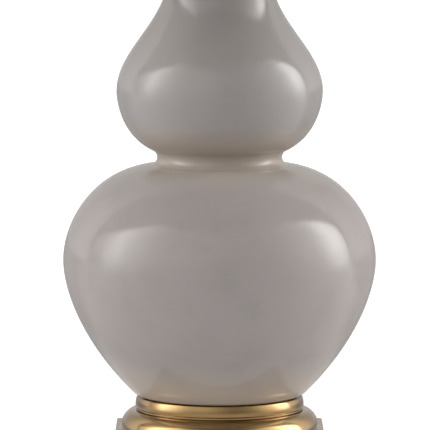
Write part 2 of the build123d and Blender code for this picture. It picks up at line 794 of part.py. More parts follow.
# ---------------------------------------------------------------------- build
def main():
    os.makedirs("parts", exist_ok=True)
    pieces = {
        "felt_feet": felt_feet(),
        "plinth": plinth(),
        "cord_bushing": cord_bushing(),
        "bottom_cover": bottom_cover(),
        "cover_screws": cover_screws(),
        "ballast_plate": ballast_plate(),
        "rod_washer": rod_washer(),
        "rod_nut": rod_nut(),
        "threaded_rod": threaded_rod(),
        "base_moulding": base_moulding(),
        "seat_collar": seat_collar(),
        "foot_gasket": foot_gasket(),
        "gourd_body": gourd_body(),
        "mouth_gasket": mouth_gasket(),
        "neck_cap": neck_cap(),
        "check_ring": check_ring(),
        "neck_tube": neck_tube(),
        "harp_saddle": harp_saddle(),
        "socket_cap": socket_cap(),
        "socket_shell": socket_shell(),
        "shell_liner": shell_liner(),
        "socket_core": socket_core(),
        "screw_shell": screw_shell(),
        "centre_contact": centre_contact(),
        "switch_stem": switch_stem(),
        "switch_knob": switch_knob(),
        "bulb_cap": bulb_cap(),
        "bulb_glass": bulb_glass(),
        "harp_wire": harp_wire(),
        "harp_post": harp_post(),
        "ferrule_left": ferrule(-harp_spacing / 2),
        "ferrule_right": ferrule(harp_spacing / 2),
        "finial": finial(),
        "shade_fitter": shade_fitter(),
        "shade_bottom_ring": shade_hoop(shade_bottom + shade_wire_radius),
        "shade_cover": shade_band(shade_bottom, shade_top, -shade_wall, 0),
        "shade_top_trim": shade_band(shade_top - trim_height, shade_top, 0, trim_thickness),
        "shade_bottom_trim": shade_band(shade_bottom, shade_bottom + trim_height, 0, trim_thickness),
    }
    for name, piece in pieces.items():
        save(name, piece)
        print(name, round(piece.volume))


main()
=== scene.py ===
# %% [markdown]
# # A glazed double gourd table lamp, dressed for its portrait
#
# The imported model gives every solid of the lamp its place.  This lesson loads it
# as a fixed frame and dresses it: a smooth glazed gourd, turned and lacquered
# brass, frosted glass, a linen shade.  Each step first says what the piece is on
# the real lamp, then how it could be made in Blender, then why this way won.
#
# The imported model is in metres, +Z up, with the front of the lamp towards -Y.

import json
import math

import bpy
import numpy as np
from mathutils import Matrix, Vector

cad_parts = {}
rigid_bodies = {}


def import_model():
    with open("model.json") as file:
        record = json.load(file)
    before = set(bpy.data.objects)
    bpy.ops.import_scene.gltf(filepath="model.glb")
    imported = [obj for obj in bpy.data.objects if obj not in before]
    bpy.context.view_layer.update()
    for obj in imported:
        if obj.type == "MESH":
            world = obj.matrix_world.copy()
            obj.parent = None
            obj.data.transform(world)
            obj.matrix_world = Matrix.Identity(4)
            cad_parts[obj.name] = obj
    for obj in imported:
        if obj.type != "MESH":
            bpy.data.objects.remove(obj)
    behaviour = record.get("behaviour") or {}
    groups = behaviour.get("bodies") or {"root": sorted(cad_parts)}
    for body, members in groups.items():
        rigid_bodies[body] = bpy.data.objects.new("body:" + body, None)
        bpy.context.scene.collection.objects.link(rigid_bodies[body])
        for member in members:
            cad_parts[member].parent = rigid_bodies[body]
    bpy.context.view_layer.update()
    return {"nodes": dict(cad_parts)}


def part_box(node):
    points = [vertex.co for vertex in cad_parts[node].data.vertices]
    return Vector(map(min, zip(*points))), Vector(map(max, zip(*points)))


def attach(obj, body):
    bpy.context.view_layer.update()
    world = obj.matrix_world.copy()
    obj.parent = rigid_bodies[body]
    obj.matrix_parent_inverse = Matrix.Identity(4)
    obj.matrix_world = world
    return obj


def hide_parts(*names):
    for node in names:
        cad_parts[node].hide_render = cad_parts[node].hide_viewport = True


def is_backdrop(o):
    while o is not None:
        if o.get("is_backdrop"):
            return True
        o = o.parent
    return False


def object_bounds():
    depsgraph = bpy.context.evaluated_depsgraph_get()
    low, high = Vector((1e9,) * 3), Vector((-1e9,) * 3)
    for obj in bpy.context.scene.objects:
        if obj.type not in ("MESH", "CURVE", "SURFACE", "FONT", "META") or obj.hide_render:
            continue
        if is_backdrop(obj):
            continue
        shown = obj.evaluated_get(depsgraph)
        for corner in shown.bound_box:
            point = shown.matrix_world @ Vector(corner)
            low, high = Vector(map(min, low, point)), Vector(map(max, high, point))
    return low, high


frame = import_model()

# %% [markdown]
# ## Camera
#
# A photographer shot the lamp from about three and a half metres with a long lens,
# a little above its foot, so the plinth shows its top and the neck looks almost
# level.  A camera could be parented to an empty and aimed with a constraint, but a
# fixed place and a tilt worked out from two heights are easier to check by hand.

# %% Camera
MM = 0.001
CAMERA_SIDE = -3.6 * MM      # the lamp stands a touch right of the picture's middle
CAMERA_DISTANCE = 3370 * MM
CAMERA_HEIGHT = 548 * MM
AIM_HEIGHT = 194.8 * MM
LENS = 362.6

camera_data = bpy.data.cameras.new("portrait_camera")
camera_data.lens = LENS
camera_data.sensor_width = 36.0
camera_data.clip_end = 100.0
camera = bpy.data.objects.new("portrait_camera", camera_data)
bpy.context.scene.collection.objects.link(camera)
tilt = math.atan((CAMERA_HEIGHT - AIM_HEIGHT) / CAMERA_DISTANCE)
camera.location = (CAMERA_SIDE, -CAMERA_DISTANCE, CAMERA_HEIGHT)
camera.rotation_euler = (math.pi / 2 - tilt, 0, 0)
bpy.context.scene.camera = camera
bpy.context.scene.view_settings.view_transform = "Standard"
print("camera tilts down by", round(math.degrees(tilt), 2), "degrees")

# %% [markdown]
# ## Small tools for node trees
#
# A procedural material is a small program made of nodes.  Wiring each node by hand
# takes four lines, so short helpers keep the recipes readable: one adds a node and
# plugs its inputs, a few do arithmetic, one makes a soft step, one blends colours.

# %% Node helpers
def add(tree, kind, inputs=None, **settings):
    """A new node of that kind, with its settings made and its named inputs filled or linked."""
    node = tree.nodes.new("ShaderNode" + kind)
    for name, value in settings.items():
        setattr(node, name, value)
    for name, value in (inputs or {}).items():
        socket = node.inputs[name]
        if isinstance(value, bpy.types.NodeSocket):
            tree.links.new(value, socket)
        else:
            socket.default_value = value
    return node


def calc(tree, operation, a, b=0.0, clamp=False):
    """The output of a Math node: operation on a and b, each a number or a socket."""
    return add(tree, "Math", {0: a, 1: b}, operation=operation, use_clamp=clamp).outputs[0]


def times(tree, a, b):
    """a times b."""
    return calc(tree, "MULTIPLY", a, b)


def plus(tree, a, b, clamp=False):
    """a plus b, kept between 0 and 1 if clamp is set."""
    return calc(tree, "ADD", a, b, clamp)


def minus(tree, a, b):
    """a minus b."""
    return calc(tree, "SUBTRACT", a, b)


def larger(tree, a, b):
    """The larger of a and b."""
    return calc(tree, "MAXIMUM", a, b)


def distance(tree, a, b):
    """sqrt(a^2 + b^2)."""
    return calc(tree, "SQRT", plus(tree, times(tree, a, a), times(tree, b, b)))


def azimuth_of(tree, x, y):
    """Degrees round from the camera's side, + to the right: atan2(x, -y)."""
    return calc(tree, "DEGREES", calc(tree, "ARCTAN2", x, times(tree, y, -1.0)))


def soft_step(tree, value, low, high):
    """0 below low, 1 above high and a smooth S between them; high may be the lower one."""
    flip = high < low
    first, last = (high, low) if flip else (low, high)
    ends = (1.0, 0.0) if flip else (0.0, 1.0)
    node = add(tree, "MapRange", {"Value": value, "From Min": first, "From Max": last,
                                  "To Min": ends[0], "To Max": ends[1]},
               interpolation_type="SMOOTHSTEP")
    return node.outputs["Result"]


def blend(tree, factor, first, second):
    """The colour part way from first to second, by factor.  A fixed colour is (red, green, blue)."""
    node = add(tree, "Mix", data_type="RGBA")
    for name, value in (("Factor", factor), ("A", first), ("B", second)):
        socket = [s for s in node.inputs if s.name == name and s.enabled][0]
        if isinstance(value, bpy.types.NodeSocket):
            tree.links.new(value, socket)
        else:
            socket.default_value = (*value, 1.0) if isinstance(value, tuple) else value
    return [s for s in node.outputs if s.enabled][0]


def new_material(name, **shader):
    """A material with a Principled shader whose named sockets are set; returns both and the tree."""
    material = bpy.data.materials.new(name)
    material.use_nodes = True
    tree = material.node_tree
    surface = tree.nodes["Principled BSDF"]
    for socket, value in shader.items():
        surface.inputs[socket.replace("_", " ")].default_value = value
    return material, tree, surface


def plug(tree, surface, **values):
    """Link values to the shader's named sockets, with _ for the space in a name."""
    for name, value in values.items():
        tree.links.new(value, surface.inputs[name.replace("_", " ")])


def object_place(tree):
    """Socket with the point's place in the object's own metres."""
    return add(tree, "TexCoord").outputs["Object"]


def noise(tree, vector, scale, detail=4.0, roughness=0.5):
    """A Noise texture's value, about 0.5 on average; scale counts blobs per metre."""
    inputs = {"Vector": vector, "Scale": scale, "Detail": detail, "Roughness": roughness}
    return add(tree, "TexNoise", inputs).outputs["Fac"]


def bump(tree, height, strength, distance):
    """A Bump node's normal: distance is how many metres the height 0 to 1 stands for."""
    inputs = {"Height": height, "Strength": strength, "Distance": distance}
    return add(tree, "Bump", inputs).outputs["Normal"]


def noisy_finish(name, tones, grain, relief, rough=None, **shader):
    """A material whose colour, relief and roughness follow one noise.  tones: colours at noise 0 and 1;
    grain: the noise's scale, detail and roughness; relief: bump strength and metres; rough: roughness
    at noise 0 and what noise 1 adds to it."""
    material, tree, surface = new_material(name, **shader)
    value = noise(tree, object_place(tree), *grain)
    plug(tree, surface, Base_Color=blend(tree, value, *tones), Normal=bump(tree, value, *relief))
    if rough:
        plug(tree, surface, Roughness=plus(tree, rough[0], times(tree, value, rough[1])))
    return material


# %% [markdown]
# ## Studio light
#
# The glaze is nearly a mirror, so what stands round the lamp is what the picture
# shows: a tall white panel on each side, brightest where its flash tube sits, that
# ends sharply towards the back and at the top; a dim gap where the camera stands;
# a pale wall behind.  Area lamps could do it, but a lamp at the side would stand in
# the way when the view turns.  A world drawn by direction lights the lamp the same
# way from every side and never gets in the picture.
#
# Directions are two angles: how far round from the camera, and how high.

# %% Panels by direction
LEFT_PEAKS = ((78.0, 20.0, 2.2), (87.5, 9.5, 1.8))       # centre and width in degrees, strength
RIGHT_PEAKS = ((84.0, 28.0, 1.5), (100.0, 14.0, 4.7))
REAR_EDGE = (114.0, 110.5)   # degrees round: dark from the first, full from the second
PANEL_BASE, LEFT_EXTRA = 0.36, 0.48


def spot(tree, value, centre, width):
    """A soft peak: exp(-((value - centre) / width)^2)."""
    x = calc(tree, "DIVIDE", minus(tree, value, centre), width)
    return calc(tree, "EXPONENT", times(tree, times(tree, x, x), -1.0))


def peaks(tree, value, pair):
    """The sum of two soft peaks, each times its strength."""
    return plus(tree, *(times(tree, spot(tree, value, centre, width), strength)
                        for centre, width, strength in pair))


def side_panels(tree, azimuth):
    """Brightness of the two panels by azimuth: on each side a low base, a wide glow and a hot
    core, cut off where each panel has its rear edge."""
    side = calc(tree, "ABSOLUTE", azimuth)
    right = calc(tree, "GREATER_THAN", azimuth, 0.0)
    left_glow, right_glow = peaks(tree, side, LEFT_PEAKS), peaks(tree, side, RIGHT_PEAKS)
    glow = add(tree, "Mix", {0: right, 2: left_glow, 3: right_glow}).outputs[0]
    base = plus(tree, PANEL_BASE, times(tree, soft_step(tree, azimuth, 22.0, -30.0), LEFT_EXTRA))
    return times(tree, plus(tree, base, glow), soft_step(tree, side, *REAR_EDGE))


STUDIO_LEVEL = 1.235
LIGHT_TINT = (1.0, 0.985, 0.965, 1.0)
PANEL_TOP = 49.0             # degrees up to the panels' top edge, before it droops
DROOP_FROM = 61.0            # degrees round where the top edge starts to droop
LEFT_DROOP, RIGHT_DROOP = 0.56, 0.0086   # per degree on the left, per degree squared on the right
TOP_SOFTNESS = 4.5
world = bpy.data.worlds.new("studio")
bpy.context.scene.world = world
world.use_nodes = True
w = world.node_tree
w.nodes.clear()
toward = add(w, "SeparateXYZ", {"Vector": add(w, "TexCoord").outputs["Generated"]})
azimuth = azimuth_of(w, toward.outputs["X"], toward.outputs["Y"])
side = calc(w, "ABSOLUTE", azimuth)
height = calc(w, "DEGREES", calc(w, "ARCSINE", toward.outputs["Z"]))
on_right = calc(w, "GREATER_THAN", azimuth, 0.0)
past = larger(w, minus(w, side, DROOP_FROM), 0.0)
left_droop = times(w, past, LEFT_DROOP)
right_droop = times(w, times(w, past, past), RIGHT_DROOP)
top_edge = minus(w, PANEL_TOP, add(w, "Mix", {0: on_right, 2: left_droop, 3: right_droop}).outputs[0])
below_top = soft_step(w, minus(w, top_edge, height), -TOP_SOFTNESS, TOP_SOFTNESS)
brighter_up = plus(w, 0.22, times(w, soft_step(w, height, -18.0, 21.0), 0.80))
panels = times(w, times(w, side_panels(w, azimuth), below_top), brighter_up)
print("panel nodes:", len(w.nodes))

# %% [markdown]
# The rest of the room is the wall behind and a ceiling.  The wall glows where it
# stands next to the panels, falls off towards the middle, and ends overhead on a
# slanting line; the ceiling is brighter towards both sides.  Camera rays see plain
# white instead, which is the photograph's background; rays through glass see it
# too, and mirror rays see a little of it behind the lamp.

# %% Room and background
WALL_LEAN, WALL_SLANT = 0.158, 0.40    # the wall ends where Y = lean * Z + slant * |X|
DARKEST = 0.05
wall_rise = plus(w, 0.66, times(w, on_right, 0.14))
wall_glow = times(w, soft_step(w, side, 150.0, 112.0), soft_step(w, height, 62.0, 35.0))
wall = plus(w, 0.40, times(w, wall_glow, wall_rise))
wall = plus(w, wall, times(w, soft_step(w, height, 28.0, 58.0), 0.28))
across = calc(w, "ABSOLUTE", toward.outputs["X"])
behind_line = minus(w, toward.outputs["Y"], times(w, toward.outputs["Z"], WALL_LEAN))
behind_line = minus(w, behind_line, times(w, across, WALL_SLANT))
wall = times(w, wall, soft_step(w, behind_line, -0.010, 0.020))
ceiling_tone = plus(w, 0.18, times(w, soft_step(w, across, 0.25, 0.80), 0.36))
ceiling = times(w, soft_step(w, height, 22.0, 30.0), ceiling_tone)
room = larger(w, larger(w, wall, ceiling), DARKEST)
light = times(w, larger(w, room, panels), STUDIO_LEVEL)
studio = add(w, "Background", {"Color": LIGHT_TINT, "Strength": light})
white = add(w, "Background", {"Color": (1.0, 1.0, 1.0, 1.0), "Strength": 1.0})
rays = add(w, "LightPath")
behind = times(w, soft_step(w, side, 111.0, 140.0), 0.10)
seen = larger(w, rays.outputs["Is Camera Ray"], rays.outputs["Is Transmission Ray"])
seen = larger(w, seen, times(w, rays.outputs["Is Glossy Ray"], behind))
both = add(w, "MixShader", {0: seen, 1: studio.outputs[0], 2: white.outputs[0]})
add(w, "OutputWorld", {"Surface": both.outputs[0]})
print("studio world made,", len(w.nodes), "nodes")

# %% [markdown]
# ## Floor
#
# The lamp stands on white board.  A plane is enough, but it has to come out as white
# as the background and still hold the lamp's soft shadow.  So the board is an
# ordinary pale diffuse sheet with a small lift for rays that come straight from the
# camera.  Painted light makes the board glow with the panels' brightness by azimuth,
# a little near the lamp and more beyond the panels' feet, and painted shadow makes it
# darker right behind and before the lamp.  Only reflections and soft light can see either.

# %% Floor
FLOOR_REACH = 14.0
PANEL_FOOT = 0.9             # metres from the lamp to where the panels stand
CAMERA_LIFT = 0.40           # makes the board as white as the background
floor_mesh = bpy.data.meshes.new("floor")
corners = [(x * FLOOR_REACH, y * FLOOR_REACH, 0.0) for x, y in ((-1, -1), (1, -1), (1, 1), (-1, 1))]
floor_mesh.from_pydata(corners, [], [(0, 1, 2, 3)])
floor = bpy.data.objects.new("floor", floor_mesh)
bpy.context.scene.collection.objects.link(floor)
floor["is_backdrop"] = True
board, t, surface = new_material("white_board", Roughness=0.9, Specular_IOR_Level=0.1)
grain = noise(t, object_place(t), 90.0, 2.0)
tone = blend(t, grain, (0.83, 0.83, 0.83), (0.86, 0.86, 0.86))
place = add(t, "SeparateXYZ", {"Vector": object_place(t)})
x, y = place.outputs["X"], place.outputs["Y"]
board_azimuth = azimuth_of(t, x, y)
away = distance(t, x, y)
# Painted light: the board glows with the panels' brightness for all but camera rays.
painted_glow_reach = plus(t, times(t, soft_step(t, away, 0.0, PANEL_FOOT * 0.8), 0.10),
                  times(t, soft_step(t, away, PANEL_FOOT, PANEL_FOOT * 2.4), 0.22))
glow = times(t, side_panels(t, board_azimuth), painted_glow_reach)
floor_rays = add(t, "LightPath")
from_camera = floor_rays.outputs["Is Camera Ray"]
board_side = calc(t, "ABSOLUTE", board_azimuth)
# Painted shadow: the board's colour is darker right behind and before the lamp for all but camera rays.
behind_lamp = times(t, soft_step(t, board_side, 106.0, 130.0), soft_step(t, away, 0.09, 0.36))
before_lamp = times(t, soft_step(t, board_side, 80.0, 40.0), soft_step(t, away, 0.12, 0.80))
painted_floor_shadow = plus(t, times(t, behind_lamp, 0.62), times(t, before_lamp, 0.38))
painted_floor_shadow = times(t, painted_floor_shadow, minus(t, 1.0, from_camera))
tone = blend(t, painted_floor_shadow, tone, (0.0, 0.0, 0.0))
plug(t, surface, Base_Color=tone)
mirrored = larger(t, floor_rays.outputs["Is Transmission Ray"],
                times(t, floor_rays.outputs["Is Glossy Ray"], 0.15))
lift = times(t, larger(t, from_camera, mirrored), CAMERA_LIFT)
# Painted light: the glow is emitted for all but camera rays.
unseen = times(t, glow, minus(t, 1.0, from_camera))
plug(t, surface, Emission_Strength=plus(t, lift, unseen))
surface.inputs["Emission Color"].default_value = (1.0, 1.0, 1.0, 1.0)
floor_mesh.materials.append(board)
print("floor half width", FLOOR_REACH, "m")

# %% [markdown]
# ## Turned pieces as surfaces of revolution
#
# Nearly every piece of this lamp was spun on a lathe or thrown on a wheel.  In
# Blender a Screw modifier on a curve would do, but then the wall, the ends and the
# texture grid need cleaning.  Here the outline is a closed list of points in
# (radius, height), and the surface is a function of two parameters: the angle
# round the axis, and the place along the outline.  numpy works it out in one go.
#
# Corners of the outline get small arcs, because a real metal edge is never sharp
# and its thin highlight is what makes it look like metal.

# %% Outline tools
def bezier(p0, p1, p2, p3, steps=24):
    """Points of a cubic curve: (1-t)^3 p0 + 3(1-t)^2 t p1 + 3(1-t) t^2 p2 + t^3 p3."""
    t = np.linspace(0.0, 1.0, steps)[:, None]
    p0, p1, p2, p3 = (np.asarray(p, float) for p in (p0, p1, p2, p3))
    return (1 - t) ** 3 * p0 + 3 * (1 - t) ** 2 * t * p1 + 3 * (1 - t) * t ** 2 * p2 + t ** 3 * p3


def arc(centre, radius, start, end, steps=16):
    """Points of an arc: centre + radius (cos a, sin a), a running from start to end in degrees."""
    a = np.radians(np.linspace(start, end, steps))
    return np.asarray(centre, float) + radius * np.stack([np.cos(a), np.sin(a)], 1)


def eased(corners, reach, steps=6, closed=False):
    """Straight runs with soft corners: the line leaves each run 'reach' before its corner and
    bends through it as a quadratic curve, (1-t)^2 a + 2(1-t) t corner + t^2 b."""
    p = np.asarray(corners, float)
    before, after = np.roll(p, 1, 0) - p, np.roll(p, -1, 0) - p
    sizes = [np.maximum(np.linalg.norm(v, axis=1), 1e-9) for v in (before, after)]
    back = np.minimum(reach, 0.45 * np.minimum(*sizes))[:, None]
    a, b = p + before / sizes[0][:, None] * back, p + after / sizes[1][:, None] * back
    t = np.linspace(0.0, 1.0, steps)[None, :, None]
    bends = (1 - t) ** 2 * a[:, None] + 2 * (1 - t) * t * p[:, None] + t ** 2 * b[:, None]
    if not closed:
        bends[0], bends[-1] = p[0], p[-1]
    return bends.reshape(-1, p.shape[1])


def joined(stretches, closed=True):
    """One outline from several stretches, without points that repeat the one before them."""
    points = np.concatenate([np.atleast_2d(np.asarray(s, float)) for s in stretches])
    step = np.linalg.norm(points - np.roll(points, 1, 0), axis=1)
    keep = step > 1e-4
    if not closed:
        keep[0] = True
    return points[keep]


print("a softened square has", len(eased([(0, 0), (1, 0), (1, 1), (0, 1)], 0.1, closed=True)), "points")

# %% Spinning an outline
def grid_surface(grid, run, poles, u_length=1.0):
    """Vertices, faces and UV map of a grid of points [row, column].  Each row closes on itself.
    With poles the first and last rows shrink to one point each; without, they are joined.
    u runs to u_length along a row, and v is run[row]."""
    rows, columns = grid.shape[:2]
    i = np.arange(rows - 1 if poles else rows)[:, None]
    j = np.arange(columns)[None, :]
    i1, j1 = (i + 1) % rows, (j + 1) % columns
    quads = np.stack([i * columns + j, i * columns + j1, i1 * columns + j1, i1 * columns + j], -1)
    u0, u1, v0, v1 = (np.broadcast_to(value, quads.shape[:2]) for value in (
        j / columns * u_length, (j + 1) / columns * u_length, run[i], run[i + 1]))
    uv = np.stack([u0, v0, u1, v0, u1, v1, u0, v1], -1).reshape(-1, 2)
    faces = quads.reshape(-1, 4)
    if poles:
        last = (rows - 1) * columns
        faces = np.where(faces < columns, 0, np.where(faces >= last, last, faces))
    return grid.reshape(-1, 3), faces, uv


def spin(stretches, around, wobble=None):
    """A surface of revolution.  Point (i, j) is outline point i turned by angle j, so the radius r
    goes to (r cos a, r sin a) and the height stays.  An outline that ends on the axis closes
    in a pole there; any other closes on itself as a ring.  wobble(angle, height) adds to r."""
    points = joined(stretches)
    on_axis = np.flatnonzero(points[:, 0] < 1e-6)
    poles = len(on_axis) == 2
    if poles and (on_axis[1] - on_axis[0]) == 1:
        points = np.roll(points, -on_axis[1], 0)
    r, z = points.T
    if np.sum(r * np.roll(z, -1) - np.roll(r, -1) * z) < 0:
        points = points[::-1]
    r, z = points.T
    steps = np.r_[np.hypot(np.diff(r), np.diff(z)), np.hypot(r[0] - r[-1], z[0] - z[-1])]
    angle = np.arange(around) * 2 * np.pi / around
    rr, aa = np.meshgrid(r, angle, indexing="ij")
    zz = np.broadcast_to(z[:, None], rr.shape)
    if wobble is not None:
        rr = np.where(rr > 1e-6, rr + wobble(aa, zz), rr)
    grid = np.stack([rr * np.cos(aa), rr * np.sin(aa), zz], -1)
    return grid_surface(grid, np.r_[0.0, np.cumsum(steps)], poles)


# %% [markdown]
# A wire is the same idea with another path: a small circle carried along a line
# that stays in one plane, so the circle's frame never twists.

# %% Carrying a circle along a path
def bent(corners, radii, steps=14):
    """A line through corners with a round bend of the given radius at each inner one.  The arc
    touches both runs at radius * tan(half the turn) from the corner."""
    p = np.asarray(corners, float)
    out = [p[:1]]
    for k, radius in enumerate(radii, 1):
        a, b = p[k - 1] - p[k], p[k + 1] - p[k]
        a, b = a / np.linalg.norm(a), b / np.linalg.norm(b)
        half = (np.pi - np.arccos(np.clip(a @ b, -1, 1))) / 2
        middle = p[k] + (a + b) / np.linalg.norm(a + b) * radius / np.cos(half)
        start, end = p[k] + a * radius * np.tan(half) - middle, p[k] + b * radius * np.tan(half) - middle
        t = np.linspace(0, 1, steps)[:, None]
        swing = np.sin((1 - t) * 2 * half) * start + np.sin(t * 2 * half) * end
        out.append(middle + swing / np.sin(2 * half))
    return np.concatenate(out + [p[-1:]])


def carried(path, radius, plane_normal, closed=False, around=20):
    """A tube: each path point p gets a ring p + radius (cos a * side + sin a * plane normal), where
    side is the plane normal crossed with the path's direction.  Open ends are domed."""
    path = np.asarray(path, float)
    lift = np.asarray(plane_normal, float) / np.linalg.norm(plane_normal)
    ahead = (np.roll(path, -1, 0) - np.roll(path, 1, 0)) if closed else np.gradient(path, axis=0)
    ahead /= np.linalg.norm(ahead, axis=1)[:, None]
    size = np.full(len(path), radius)
    if not closed:
        dome = np.radians([90.0, 60.0, 30.0])
        first = path[0] + ahead[0] * radius * (1 - np.sin(dome))[:, None]
        last = path[-1] - ahead[-1] * radius * (1 - np.sin(dome))[::-1, None]
        path = np.concatenate([first, path[1:-1], last])
        size = np.r_[radius * np.cos(dome), size[1:-1], radius * np.cos(dome)[::-1]]
        ahead = np.concatenate([ahead[[0, 0, 0]], ahead[1:-1], ahead[[-1, -1, -1]]])
    side = np.cross(lift, ahead)
    a = -np.arange(around) * 2 * np.pi / around
    ring = np.cos(a)[None, :, None] * side[:, None] + np.sin(a)[None, :, None] * lift
    run = np.r_[0.0, np.cumsum(np.linalg.norm(np.diff(path, axis=0), axis=1))]
    run = np.r_[run, run[-1] + np.linalg.norm(path[0] - path[-1])]
    return grid_surface(path[:, None] + size[:, None, None] * ring, run, poles=not closed)


# %% Putting shapes into a mesh
def put(name, shapes, body, stands_for, finish, sharp=38.0):
    """One piece from one or several shapes.  Corners that fall together in a face are taken out,
    so a pole's quads become triangles, and points that no face uses go too."""
    verts, loops, sizes, uvs, start = [], [], [], [], 0
    for points, faces, uv in shapes:
        again = faces == np.roll(faces, 1, 1)
        loops.append((faces + start)[~again])
        sizes.append((~again).sum(1))
        uvs.append(uv.reshape(len(faces), 4, 2)[~again])
        verts.append(points)
        start += len(points)
    verts, loops, sizes, uvs = (np.concatenate(part) for part in (verts, loops, sizes, uvs))
    used = np.unique(loops)
    place = np.zeros(len(verts), int)
    place[used] = np.arange(len(used))
    verts, loops = verts[used] * MM, place[loops]
    mesh = bpy.data.meshes.new(name)
    mesh.vertices.add(len(verts))
    mesh.vertices.foreach_set("co", verts.astype(np.float32).ravel())
    mesh.loops.add(len(loops))
    mesh.loops.foreach_set("vertex_index", loops.astype(np.int32))
    mesh.polygons.add(len(sizes))
    mesh.polygons.foreach_set("loop_start", np.r_[0, np.cumsum(sizes)[:-1]].astype(np.int32))
    mesh.update(calc_edges=True)
    mesh.uv_layers.new(name="run").data.foreach_set("uv", (uvs * [1.0, MM]).astype(np.float32).ravel())
    mesh.validate()
    mesh.shade_smooth()
    mesh.set_sharp_from_angle(angle=math.radians(sharp))
    piece = bpy.data.objects.new(name, mesh)
    bpy.context.scene.collection.objects.link(piece)
    mesh.materials.append(finish)
    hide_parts(*stands_for)
    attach(piece, body)
    print(f"{name}: {len(sizes)} faces")
    return piece


def heights(node):
    """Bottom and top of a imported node, in millimetres."""
    low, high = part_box(node)
    return low.z / MM, high.z / MM


# %% [markdown]
# ## Glaze
#
# The gourd is slip cast stoneware under a thick, even, taupe grey glaze.  Glass
# over clay is a smooth dielectric: a diffuse body colour and a clear reflection on
# top.  One Principled shader does both.  The colour goes by height, and much of it
# is painted light: the belly's warm grey is painted lighter and the upper bulb's
# grey darker, for how the light falls; the waist has a tan where the glaze thinned,
# painted lighter below the groove where the bulb shades it; and the foot is
# painted pale for light thrown up from the floor.  The rest of the life is in
# small things: the colour drifts a little, the surface rolls like still water, a
# few pinholes break it.
# Photographs of glaze could be mapped on, but noise in the object's own metres has
# no seams and stays sharp at any distance.

# %% Glaze material
LIT_BELLY_GLAZE = (0.338, 0.307, 0.302), (0.361, 0.329, 0.324)
SHADED_BULB_GLAZE = (0.293, 0.276, 0.270), (0.313, 0.295, 0.289)
WAIST_TAN_AND_LIGHT = (0.420, 0.378, 0.338), (0.378, 0.326, 0.282)    # lower and upper half
FOOT_BOUNCE_LIGHT, CLOUD_GLAZE, SPECK_GLAZE = (0.448, 0.392, 0.342), (0.300, 0.276, 0.260), (0.20, 0.17, 0.145)
glaze, t, surface = new_material("taupe_glaze", Roughness=0.09, IOR=1.5, Specular_IOR_Level=0.45)
place = object_place(t)
drift = noise(t, place, 7.0, 3.0)
clouds = noise(t, place, 34.0, 4.0, 0.6)
specks = noise(t, place, 900.0, 2.0)
level = add(t, "SeparateXYZ", {"Vector": place}).outputs["Z"]
level = plus(t, level, times(t, minus(t, clouds, 0.5), 0.012))
# Painted light and shade: the belly's grey is lighter and the upper bulb's darker, for how the light falls.
lit_low_tone = blend(t, soft_step(t, drift, 0.35, 0.65), *LIT_BELLY_GLAZE)
shaded_high_tone = blend(t, soft_step(t, drift, 0.35, 0.65), *SHADED_BULB_GLAZE)
tone = blend(t, soft_step(t, level, 0.20, 0.30), lit_low_tone, shaded_high_tone)
tone = blend(t, times(t, soft_step(t, clouds, 0.45, 0.75), 0.5), tone, CLOUD_GLAZE)
# Painted light: the waist's tan of thinned glaze is lighter below the groove, where the bulb above shades it.
at_waist = times(t, soft_step(t, level, 0.220, 0.236), soft_step(t, level, 0.274, 0.250))
tan = blend(t, soft_step(t, level, 0.230, 0.240), *WAIST_TAN_AND_LIGHT)
tone = blend(t, at_waist, tone, tan)
# Painted light: the foot is paler for light thrown up from the floor.
tone = blend(t, soft_step(t, level, 0.094, 0.058), tone, FOOT_BOUNCE_LIGHT)
tone = blend(t, times(t, soft_step(t, specks, 0.70, 0.78), 0.35), tone, SPECK_GLAZE)
plug(t, surface, Base_Color=tone)
roll = plus(t, noise(t, place, 22.0, 1.0), times(t, noise(t, place, 120.0, 1.0), 0.06))
pits = soft_step(t, noise(t, place, 420.0, 1.0), 0.74, 0.80)
skin = bump(t, roll, 0.35, 0.0012)
skin = add(t, "Bump", {"Height": times(t, pits, -1.0), "Strength": 0.25, "Distance": 0.0002,
                       "Normal": skin}).outputs["Normal"]
plug(t, surface, Normal=skin)
print("glaze nodes:", len(t.nodes))

# %% [markdown]
# ## Gourd
#
# The body is two bulbs and a waist.  The outline is a chain of curves that leave
# each other in the same direction, so the reflections run over the joins without a
# kink: foot round, lower gourd, shoulder, a tight groove at the waist, upper bulb,
# neck.  The same chain, drawn inwards by the wall, is the inside.

# %% Gourd outline
foot_z, mouth_z = heights("gourd_body")
WALL = 6.0
NECK_RADIUS, BULB_RADIUS, BELLY_RADIUS = 38.3, 80.75, 122.5
BELLY_RISE, GROOVE_RISE, BULB_RISE = 107.0, 187.5, 239.0     # above the foot
FOOT_ROUND, GROOVE_ROUND = 12.0, 6.0
NECK_LENGTH = 10.0


